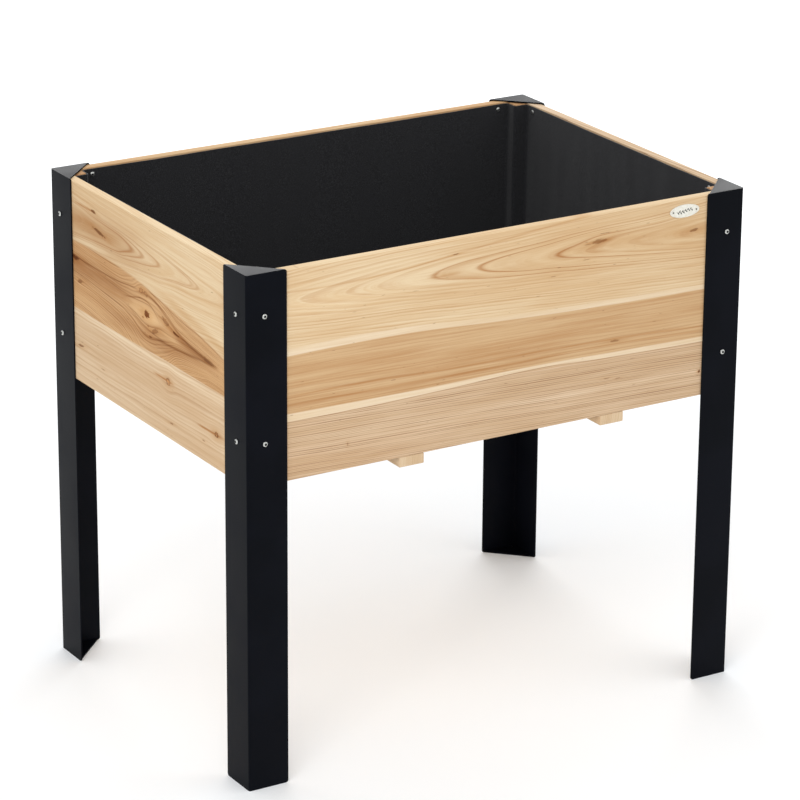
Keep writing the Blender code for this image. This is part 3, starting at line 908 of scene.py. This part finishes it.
def eased(piece):
    """Rounds the sharp edges of a leg, and shades it so that its faces stay flat."""
    ease = piece.modifiers.new("ease", "BEVEL")
    ease.width = LEG_EDGE_EASE
    ease.segments = LEG_EASE_STEPS
    ease.limit_method = "ANGLE"
    ease.angle_limit = math.radians(LEG_EASE_ANGLE)
    ease.harden_normals = True
    ease.miter_outer = "MITER_ARC"
    for face in piece.data.polygons:
        face.use_smooth = True
    return finished_mesh(piece)


def leg_blank(material):
    """A leg with its fold at the origin and its flanges along +X and +Y."""
    size = size_of("front_left_leg")
    flange, height = size.x, size.z
    fold = SHEET + FOLD_INNER_RADIUS
    plate = flange - FLANGE_CORNER_RADIUS
    outline = fold_arc(fold, fold)
    outline += [(flange, 0), (flange, SHEET), (plate, SHEET), (SHEET, plate), (SHEET, flange), (0, flange)]
    shape = prism(outline, 0, height)

    def is_flange_corner(edge):
        first, second = (vertex.co for vertex in edge.verts)
        middle = (first + second) / 2
        return max(middle.x, middle.y) > flange - EDGE_ROUND / 2 and abs(first.z - second.z) < EDGE_ROUND

    corners = [edge for edge in shape.edges if is_flange_corner(edge)]
    round_edges(shape, corners, FLANGE_CORNER_RADIUS, FLANGE_CORNER_STEPS)
    leg = mesh_object("leg_blank", shape, material)
    hollow = fold_arc(fold, FOLD_INNER_RADIUS) + [(flange, SHEET), (flange, flange), (SHEET, flange)]
    cut_away(leg, "pocket", prism(hollow, SHEET, height - SHEET), material)
    drain = bmesh.new()
    bmesh.ops.create_cone(
        drain, cap_ends=True, segments=DRAIN_HOLE_STEPS, radius1=DRAIN_HOLE_RADIUS, radius2=DRAIN_HOLE_RADIUS,
        depth=4 * SHEET, matrix=Matrix.Translation((DRAIN_HOLE_INSET, DRAIN_HOLE_INSET, 0)),
    )
    cut_away(leg, "drain", drain, material)
    return eased(leg)


def build_legs():
    blank = leg_blank(powder_coat())
    for corner, degrees in LEG_TURNS.items():
        low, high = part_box(corner + "_leg")
        x = low.x if corner.endswith("left") else high.x
        y = low.y if corner.startswith("front") else high.y
        mesh = blank.data.copy()
        turn = Matrix.Rotation(math.radians(degrees), 4, "Z")
        mesh.transform(Matrix.Translation((x, y, 0)) @ turn)
        stand_for(add_to_scene(corner + "_angle", mesh), [corner + "_leg"])
    bpy.data.objects.remove(blank, do_unlink=True)


# Turned fasteners, made by one Geometry Nodes tree


class Head(NamedTuple):
    """The sizes of a fastener with a domed head."""

    diameter: float
    height: float
    rim: float
    shank: float
    length: float
    socket: float  # across the flats
    socket_depth: float


LEG_HEAD = Head(0.0074, 0.0022, 0.0008, 0.0040, 0.0, 0.0034, 0.0014)  # its length comes from the frame
LINER_HEAD = Head(0.0072, 0.0018, 0.0006, 0.0030, 0.0120, 0.0024, 0.0010)
BATTEN_HEAD = Head(0.0075, 0.0020, 0.0006, 0.0035, 0.0350, 0.0026, 0.0012)
PIN_HEAD = Head(0.0022, 0.0007, 0.0002, 0.0012, 0.0070, 0.0006, 0.0001)

HEAD_LABELS = tuple(field.replace("_", " ").title() for field in Head._fields)
HEAD_STEPS = 24
DOME_STEPS = 7
MOUTH = 0.985  # the height of the socket's mouth, as a share of the head's
MOUTH_REACH = 0.40  # where the dome's curve begins, as a share of the head's radius
CHAMFER = 0.04  # the depth of the mouth's bevel, as a share of the head's height
CHAMFER_REACH = 1.10
SOCKET_SIDES = 6
SOCKET_ROWS = 4  # rows of the profile that lie in the socket
SOCKET_FLOOR = ((0.92, 0.88), (1.0, 0.70))  # reach and depth of its rounded floor
UNDERCUT = 0.97  # the head's underside, as a share of its radius
WELD = 0.000005

WALL_FACES = {
    "front": Vector((0, -1, 0)),
    "back": Vector((0, 1, 0)),
    "left": Vector((-1, 0, 0)),
    "right": Vector((1, 0, 0)),
}
DOWN = Vector((0, 0, -1))


def new_tree(name, sizes):
    """A geometry tree with a geometry socket each way and one named input for each size."""
    tree = bpy.data.node_groups.new(name, "GeometryNodeTree")
    for way in ("INPUT", "OUTPUT"):
        tree.interface.new_socket("Geometry", in_out=way, socket_type="NodeSocketGeometry")
    for label, kind in sizes:
        tree.interface.new_socket(label, in_out="INPUT", socket_type="NodeSocket" + kind)
    graph = Graph(tree)
    geometry = graph.add("NodeGroupInput")
    return tree, graph, geometry, {label: geometry.output(label) for label, _ in sizes}


def run_tree(name, tree, base, values, material):
    """Runs a tree on a base mesh and returns the result as a plain mesh piece that faces outward."""
    piece = add_to_scene(name, base)
    modifier = piece.modifiers.new("make", "NODES")
    modifier.node_group = tree
    sockets = {item.name: item.identifier for item in tree.interface.items_tree if item.in_out == "INPUT"}
    for label, value in values.items():
        modifier[sockets[label]] = value
    mesh = finished_mesh(piece).data
    mesh.name = name
    mesh.materials.clear()
    mesh.materials.append(material)
    shape = bmesh.new()
    shape.from_mesh(mesh)
    bmesh.ops.recalc_face_normals(shape, faces=shape.faces)
    shape.to_mesh(mesh)
    shape.free()
    return piece


def close_tree(graph, geometry, material):
    """The tree's last nodes: real faces, then the finish."""
    realised = graph.add("GeometryNodeRealizeInstances", None, {"Geometry": geometry})
    painted = graph.add("GeometryNodeSetMaterial", None, {"Geometry": realised, "Material": material})
    graph.add("NodeGroupOutput", None, {"Geometry": painted})


def pick(graph, row, values):
    """The one of the values that the row's number points at."""
    settings = {"data_type": "FLOAT", "item_count": len(values)}
    return graph.add("GeometryNodeIndexSwitch", settings, {"Index": row, **dict(enumerate(values, start=1))})


def head_profile(size, flat):
    """Reach and height of a fastener's outline, from the middle of its socket round to its point."""
    radius = size["Diameter"] / 2
    shank = size["Shank"] / 2
    height = size["Height"]
    dome = height - size["Rim"]
    mouth = height * MOUTH
    profile = [(0.0, mouth - size["Socket Depth"])]
    for reach, depth in SOCKET_FLOOR:
        profile.append((flat * reach, mouth - size["Socket Depth"] * depth))
    profile += [(flat, mouth - height * CHAMFER), (flat * CHAMFER_REACH, mouth)]
    for step in range(2, DOME_STEPS + 1):
        share = MOUTH_REACH + (1 - MOUTH_REACH) * math.sin(math.pi / 2 * step / DOME_STEPS)
        fall = math.sqrt(max(0.0, 1 - share * share)) ** 0.9
        profile.append((radius * share, size["Rim"] + dome * fall))
    profile += [(radius * UNDERCUT, 0.0), (shank, 0.0), (shank, size["Shank"] - size["Length"])]
    return profile + [(0.0, -size["Length"])]


def fastener_tree(material):
    """Stands a turned fastener on every point of a mesh, its head facing along the outward attribute."""
    sizes = [(label, "Float") for label in HEAD_LABELS] + [("Seed", "Int")]
    tree, graph, points, size = new_tree("turned_fastener", sizes)
    index = graph.add("GeometryNodeInputIndex")
    columns = HEAD_STEPS + 1
    angle = index.math("MODULO", columns) * (2 * math.pi / HEAD_STEPS)
    sector = 2 * math.pi / SOCKET_SIDES
    flat = size["Socket"] / 2 / (angle.math("MODULO", sector) - sector / 2).math("COSINE")
    profile = head_profile(size, flat)
    counts = {"Vertices X": len(profile), "Vertices Y": columns}
    grid = graph.add("GeometryNodeMeshGrid", None, {"Size X": 1.0, "Size Y": 1.0, **counts})
    row = (index / columns).math("FLOOR")
    reach = pick(graph, row, [reach for reach, _ in profile])
    level = pick(graph, row, [height for _, height in profile])
    turned = graph.vector(reach * angle.math("COSINE"), reach * angle.math("SINE"), level)
    shaped = graph.add("GeometryNodeSetPosition", None, {"Geometry": grid, "Position": turned})
    # Marks the socket's rows. The zinc finish darkens them with painted shade and makes them rougher.
    inside = row.math("LESS_THAN", SOCKET_ROWS)
    marked = graph.add(
        "GeometryNodeStoreNamedAttribute",
        {"data_type": "FLOAT", "domain": "POINT"},
        {"Geometry": shaped, "Name": "socket", "Value": inside},
    )
    welded = graph.add("GeometryNodeMergeByDistance", None, {"Geometry": marked, "Distance": WELD})
    outward = graph.add("GeometryNodeInputNamedAttribute", {"data_type": "FLOAT_VECTOR"}, {"Name": "outward"})
    facing = graph.add("FunctionNodeAlignRotationToVector", {"axis": "Z"}, {"Vector": outward})
    chance = {2: 0.0, 3: 2 * math.pi, "Seed": size["Seed"]}
    spin = graph.add("FunctionNodeRandomValue", {"data_type": "FLOAT"}, chance, 1)
    spun = graph.add("FunctionNodeAxisAngleToRotation", None, {"Axis": (0.0, 0.0, 1.0), "Angle": spin})
    turn = graph.add("FunctionNodeRotateRotation", {"rotation_space": "LOCAL"}, {0: facing, 1: spun})
    inputs = {"Points": points, "Instance": welded, "Rotation": turn}
    close_tree(graph, graph.add("GeometryNodeInstanceOnPoints", None, inputs), material)
    return tree


def fastener_points(name, places):
    """A mesh of loose points with the direction that each fastener's head faces."""
    mesh = bpy.data.meshes.new(name)
    mesh.from_pydata([place for place, _ in places], [], [])
    outward = mesh.attributes.new("outward", "FLOAT_VECTOR", "POINT")
    for item, (_, direction) in zip(outward.data, places):
        item.vector = direction
    return mesh


def head_place(node, direction, height):
    """Where the underside of a fastener's head is, from the node's box and the way that the head faces."""
    half = size_of(node) / 2
    reach = sum(abs(direction[axis]) * half[axis] for axis in range(3))
    return centre_of(node) + direction * (reach - height)


def build_fasteners(name, material, head, facing, seed):
    """All the fasteners of one kind as one piece. Facing gives a head's direction from its node's label."""
    prefix = name.removesuffix("s") + "_"
    nodes = sorted(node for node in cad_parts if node.startswith(prefix))
    places = []
    for node in nodes:
        direction = facing(node.removeprefix(prefix))
        places.append((head_place(node, direction, head.height), direction))
    values = {**dict(zip(HEAD_LABELS, head)), "Seed": seed}
    piece = run_tree(name, fastener_tree(material), fastener_points(name, places), values, material)
    smooth(piece, sharp=38)
    stand_for(piece, nodes)


def wall_face(label):
    return WALL_FACES[label.split("_")[0]]


def build_screws():
    plated = zinc()
    leg_head = LEG_HEAD._replace(length=size_of("leg_screw_front_left_upper").y - LEG_HEAD.height)
    build_fasteners("leg_screws", plated, leg_head, wall_face, seed=3)
    build_fasteners("liner_screws", plated, LINER_HEAD, lambda label: -wall_face(label), seed=5)
    build_fasteners("batten_screws", plated, BATTEN_HEAD, lambda label: DOWN, seed=7)
    front = WALL_FACES["front"]
    build_fasteners("label_pins", dull_pin(), PIN_HEAD, lambda label: front, seed=9)


# Floor slats, made by Geometry Nodes

SLAT_CORNER_POINTS = 3


def slat_tree(material):
    sizes = [(label, "Float") for label in ("Length", "Width", "Thickness", "Pitch", "Ease")]
    sizes += [("Count", "Int"), ("First", "Vector")]
    tree, graph, _, size = new_tree("floor_slats", sizes)
    section = graph.add(
        "GeometryNodeCurvePrimitiveQuadrilateral", None, {"Width": size["Width"], "Height": size["Thickness"]}
    )
    corners = {"Curve": section, "Radius": size["Ease"], "Count": SLAT_CORNER_POINTS}
    rounded = graph.add("GeometryNodeFilletCurve", {"mode": "POLY"}, corners)
    half = size["Length"] / 2
    ends = {"Start": graph.vector(-half, 0.0, 0.0), "End": graph.vector(half, 0.0, 0.0)}
    rail = graph.add("GeometryNodeCurvePrimitiveLine", None, ends)
    sweep = {"Curve": rail, "Profile Curve": rounded, "Fill Caps": True}
    slat = graph.add("GeometryNodeCurveToMesh", None, sweep)
    step = graph.vector(0.0, size["Pitch"], 0.0)
    line = {"Count": size["Count"], "Start Location": size["First"], "Offset": step}
    row = graph.add("GeometryNodeMeshLine", None, line)
    placed = graph.add("GeometryNodeInstanceOnPoints", None, {"Points": row, "Instance": slat})
    close_tree(graph, placed, material)
    return tree


def build_slats():
    nodes = sorted(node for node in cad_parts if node.startswith("floor_slat_"))
    size = size_of(nodes[0])
    first = centre_of(nodes[0])
    pitch = centre_of(nodes[1]).y - first.y
    material = strip_wood("slat_fir", SLAT, "x", seed=41.0, roughness=0.68, sliced=pitch)
    values = {
        "Length": size.x,
        "Width": size.y,
        "Thickness": size.z,
        "Pitch": pitch,
        "Ease": EDGE_ROUND,
        "Count": len(nodes),
        "First": first,
    }
    piece = run_tree("floor_slats", slat_tree(material), bpy.data.meshes.new("slat_base"), values, material)
    smooth(piece, sharp=40)
    stand_for(piece, nodes)


# Liner

LINER = 0.0014
LINER_STEP = 0.006  # between the points of the cloth
LINER_GAP = 0.0002  # between the cloth and the walls
LINER_SLACK = 0.0028  # how far the cloth stands off the walls
LINER_HELD = 0.008  # the reach round a screw in which the cloth lies flat
LINER_LOOSENS = 0.09  # the distance beyond it over which the cloth becomes free
LINER_CORNER = 0.009
LINER_POST_CORNER = 0.0024  # tighter, where the cloth is drawn round a post's edge
LINER_POST_GAP = 0.0008
LINER_BEND_STEPS = 6
LINER_FLOOR_CORNER = 0.005  # where the walls turn into the floor
LINER_FLOOR_BANDS = 26
LINER_RUMPLE = 0.0034
LINER_MIDDLE_RUMPLE = 0.0012


def liner_outline():
    """The liner's line round the walls and the corner posts, seen from above, with round corners."""
    low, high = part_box("liner")
    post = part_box("front_left_post")[1]
    step_x = post.x - low.x + LINER_POST_GAP
    step_y = post.y - low.y + LINER_POST_GAP
    corners = []
    for side_x, side_y in ((-1, -1), (1, -1), (1, 1), (-1, 1)):
        inner = Vector((side_x * (high.x - step_x), side_y * (high.y - step_y)))
        on_short = Vector((side_x * high.x, inner.y))
        on_long = Vector((inner.x, side_y * high.y))
        around = ((on_short, LINER_CORNER), (inner, LINER_POST_CORNER), (on_long, LINER_CORNER))
        corners += around if side_x * side_y > 0 else around[::-1]
    points = []
    for index, (corner, radius) in enumerate(corners):
        following, next_radius = corners[(index + 1) % len(corners)]
        before = (corners[index - 1][0] - corner).normalized()
        after = (following - corner).normalized()
        start = corner + before * radius
        end = corner + after * radius
        for step in range(LINER_BEND_STEPS + 1):
            share = step / LINER_BEND_STEPS
            points.append(start.lerp(corner, share).lerp(corner.lerp(end, share), share))
        run_end = following - after * next_radius
        pieces = max(2, round((run_end - end).length / LINER_STEP))
        points += [end.lerp(run_end, step / pieces) for step in range(1, pieces)]
    return points


def wall_fold(place, screws):
    """How far the cloth stands off the wall at a place, from its nearest screw and two sizes of fold."""
    near = min((place - screw).length for screw in screws)
    free = min(1.0, max(0.0, (near - LINER_HELD) / LINER_LOOSENS))
    x, y, z = place
    folds = noise.noise(Vector((x * 13, y * 13, z * 2.2))) * 0.5 + 0.5
    creases = noise.noise(Vector((x * 40, y * 40, z * 9 + 5))) * 0.5 + 0.5
    return LINER_SLACK * free * (folds * 0.8 + creases * 0.35)


def floor_rumple(x, y):
    """How high the cloth of the floor lies, from 0 to 1 for most of it."""
    rumple = noise.noise(Vector((x * 11, y * 17, 3))) + 0.5 * noise.noise(Vector((x * 34, y * 41, 7)))
    return max(0.0, rumple + 0.5)


def build_liner():
    """A tray of felt: its walls hang in shallow folds from the screws, and its floor lies slack."""
    low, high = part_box("liner")
    outline = liner_outline()
    screws = [centre_of(node) for node in sorted(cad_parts) if node.startswith("liner_screw_")]
    shape = bmesh.new()
    inward = []
    for index in range(len(outline)):
        run = outline[(index + 1) % len(outline)] - outline[index - 1]
        inward.append(Vector((-run.y, run.x)).normalized())
    rings = []
    rows = round((high.z - low.z) / LINER_STEP)
    for row in range(rows + 1):
        z = high.z - (high.z - low.z) * (row / rows)
        above = z - low.z
        turn = 0.0
        if above < LINER_FLOOR_CORNER:
            turn = 1 - math.sqrt(max(0.0, 1 - (1 - above / LINER_FLOOR_CORNER) ** 2))
        ring = []
        for point, way in zip(outline, inward):
            off = wall_fold(Vector((point.x, point.y, z)), screws) + LINER_FLOOR_CORNER * turn
            spot = point + way * (off + LINER_GAP)
            ring.append(shape.verts.new((spot.x, spot.y, z)))
        rings.append(ring)
    floor_edge = rings[-1]
    for band in range(1, LINER_FLOOR_BANDS):
        share = 1 - band / LINER_FLOOR_BANDS
        ring = []
        for vertex in floor_edge:
            x, y = vertex.co.x * share, vertex.co.y * share
            lift = LINER_RUMPLE * min(1.0, band / 3) * floor_rumple(x, y)
            ring.append(shape.verts.new((x, y, low.z + lift)))
        rings.append(ring)
    rings.append([shape.verts.new((0, 0, low.z + LINER_MIDDLE_RUMPLE))])
    for outer, inner in zip(rings, rings[1:]):
        bridge(shape, outer, inner)
    bmesh.ops.recalc_face_normals(shape, faces=shape.faces)
    floor_face = min(shape.faces, key=lambda face: face.calc_center_median().z)
    if floor_face.normal.z < 0:
        bmesh.ops.reverse_faces(shape, faces=shape.faces)
    liner = mesh_object("felt_liner", shape, liner_felt())
    thickness = liner.modifiers.new("felt", "SOLIDIFY")
    thickness.thickness = LINER
    thickness.offset = 1
    finished_mesh(liner)
    smooth(liner, sharp=60)
    stand_for(liner, ["liner"])


# Label

LABEL_STEPS = 72
LABEL_FACE = 0.8  # the painted face's level, as a share of the plate's thickness
LABEL_RIM_FROM = 0.8  # where the rim begins, which has the same width all round
LABEL_PROFILE = (
    (0.0, 0.82), (0.55, 0.82), (0.8, 0.8), (0.865, 0.8), (0.885, 0.97), (0.92, 1.0), (0.955, 0.98),
    (0.985, 0.86), (1.0, 0.62), (1.0, 0.0), (0.0, 0.0),
)  # reach from the middle to the edge, and level through the thickness
INK = 0.00012
SPRIG_STEP = 0.0024  # between two leaves
SPRIG_LEAVES = 11
FIRST_LEAF = -0.0125
LEAF_LENGTH = 0.0042
LEAF_SHORTENS = 0.0001
LEAF_WIDTH = 0.0008  # half of it, as the stem's
LEAF_TURN = 48
LEAF_STEPS = 7
STEM_START = -0.0150
STEM_PIECE = 0.0026
STEM_WIDTH = 0.00022
STEM_SWING = 0.0012
STEM_WAVES = 190


def label_plate():
    """An oval enamelled plate with a rolled rim."""
    low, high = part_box("label_plate")
    middle = (low + high) / 2
    half = (high - low) / 2
    shape = bmesh.new()
    rings = []
    for reach, level in LABEL_PROFILE:
        y = high.y - (high.y - low.y) * level
        if reach == 0.0:
            rings.append([shape.verts.new((middle.x, y, middle.z))])
            continue
        inset = (1 - reach) * half.z
        on_rim = reach > LABEL_RIM_FROM
        across = half.x - inset if on_rim else half.x * reach
        up = half.z - inset if on_rim else half.z * reach
        ring = []
        for step in range(LABEL_STEPS):
            angle = 2 * math.pi * step / LABEL_STEPS
            x = middle.x + across * math.cos(angle)
            ring.append(shape.verts.new((x, y, middle.z + up * math.sin(angle))))
        rings.append(ring)
    for first, second in zip(rings, rings[1:]):
        bridge(shape, second, first)
    bmesh.ops.recalc_face_normals(shape, faces=shape.faces)
    plate = mesh_object("oval_label", shape, label_enamel())
    smooth(plate, sharp=50)
    stand_for(plate, ["label_plate"])


def add_leaf(sprig, start, length, width, turn):
    """A pointed oval leaf of ink that grows from a point of the plate's face."""
    outline = []
    for step in range(LEAF_STEPS + 1):
        share = step / LEAF_STEPS
        outline.append((length * share, width * math.sin(math.pi * share) ** 0.8))
    outline += [(along, -across) for along, across in outline[-2:0:-1]]
    corners = []
    for point in outline:
        spot = Matrix.Rotation(turn, 2) @ Vector(point)
        corners.append(sprig.verts.new((start.x + spot.x, start.y, start.z + spot.y)))
    extrude(sprig, sprig.faces.new(corners), (0, -INK, 0))


def leaf_sprig():
    """A wavy stem with a leaf on each side in turn, in dark ink."""
    low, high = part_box("label_plate")
    middle = (low + high) / 2
    face = high.y - (high.y - low.y) * LABEL_FACE

    def on_stem(x):
        return Vector((middle.x + x, face, middle.z + STEM_SWING * math.sin(x * STEM_WAVES)))

    sprig = bmesh.new()
    for leaf in range(SPRIG_LEAVES):
        start = on_stem(FIRST_LEAF + leaf * SPRIG_STEP)
        turn = math.radians(LEAF_TURN if leaf % 2 else -LEAF_TURN)
        add_leaf(sprig, start, LEAF_LENGTH - LEAF_SHORTENS * leaf, LEAF_WIDTH, turn)
    for piece in range(SPRIG_LEAVES + 1):
        x = STEM_START + piece * SPRIG_STEP
        start = on_stem(x)
        climb = on_stem(x + SPRIG_STEP).z - start.z
        add_leaf(sprig, start, STEM_PIECE, STEM_WIDTH, math.atan2(climb, SPRIG_STEP))
    bmesh.ops.recalc_face_normals(sprig, faces=sprig.faces)
    motif = mesh_object("leaf_sprig", sprig, dark_ink())
    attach(motif, "root")


# Camera, floor and lights

CAMERA_PLACE = Vector((-2.751198, -4.527253, 2.338612))
CAMERA_AZIMUTH = -0.547831
CAMERA_ELEVATION = 0.347807
CAMERA_ROLL = 0.0075133
CAMERA_LENS = 171.46
CAMERA_SENSOR = 36.0
CAMERA_CLIP = (0.1, 200.0)
FLOOR_SIZE = 20.0
FLOOR_GLOW = (0.92, 0.97, 1.0, 1.0)
FLOOR_GLOW_STRENGTH = 0.085
SKY = (0.98, 0.99, 1.0, 1.0)
SKY_STRENGTH = 0.78
LIGHTS = (
    ("key", (-2.6, -2.8, 3.6), (2.4, 2.4), 76),
    ("fill", (3.2, -2.6, 2.2), (2.0, 2.6), 7),
    ("back", (2.2, 3.6, 2.3), (3.6, 2.0), 96),
)  # name, place, size and watts


def build_camera():
    data = bpy.data.cameras.new("camera")
    data.lens = CAMERA_LENS
    data.sensor_width = CAMERA_SENSOR
    data.clip_start, data.clip_end = CAMERA_CLIP
    camera = add_to_scene("camera", data)
    ground_share = math.cos(CAMERA_ELEVATION)
    back_x = math.sin(CAMERA_AZIMUTH) * ground_share
    back_y = -math.cos(CAMERA_AZIMUTH) * ground_share
    back = Vector((back_x, back_y, math.sin(CAMERA_ELEVATION)))
    level = Vector((0, 0, 1)).cross(back).normalized()
    upright = back.cross(level)
    right = math.cos(CAMERA_ROLL) * level + math.sin(CAMERA_ROLL) * upright
    up = -math.sin(CAMERA_ROLL) * level + math.cos(CAMERA_ROLL) * upright
    turn = Matrix((right, up, back)).transposed().to_4x4()
    camera.matrix_world = Matrix.Translation(CAMERA_PLACE) @ turn
    bpy.context.scene.camera = camera


def soft_light(name, place, size, power):
    """A rectangular light that faces the middle of the planter."""
    data = bpy.data.lights.new(name, "AREA")
    data.shape = "RECTANGLE"
    data.size, data.size_y = size
    data.energy = power
    light = add_to_scene(name, data)
    light.visible_camera = False
    light.location = place
    way = (cad_box[0] + cad_box[1]) / 2 - Vector(place)
    light.rotation_euler = way.to_track_quat("-Z", "Y").to_euler()


def build_studio():
    shape = bmesh.new()
    bmesh.ops.create_grid(shape, x_segments=1, y_segments=1, size=FLOOR_SIZE)
    paint = Finish("pale_floor", Roughness=0.9, Specular_IOR_Level=0.1)
    paint.shade(Emission_Color=FLOOR_GLOW, Emission_Strength=FLOOR_GLOW_STRENGTH)
    cloud = paint.noise(paint.place(), scale=0.6)
    material = paint.shade(Base_Color=paint.blend(cloud, tone(244, 245, 246), tone(248, 249, 250)))
    mesh_object("floor", shape, material)
    world = bpy.data.worlds.new("studio")
    bpy.context.scene.world = world
    world.use_nodes = True
    background = world.node_tree.nodes["Background"]
    background.inputs["Color"].default_value = SKY
    background.inputs["Strength"].default_value = SKY_STRENGTH
    for light in LIGHTS:
        soft_light(*light)
    bpy.context.scene.view_settings.view_transform = "Standard"


build_camera()
build_studio()
build_walls()
build_posts_and_battens()
build_legs()
build_screws()
build_slats()
build_liner()
label_plate()
leaf_sprig()
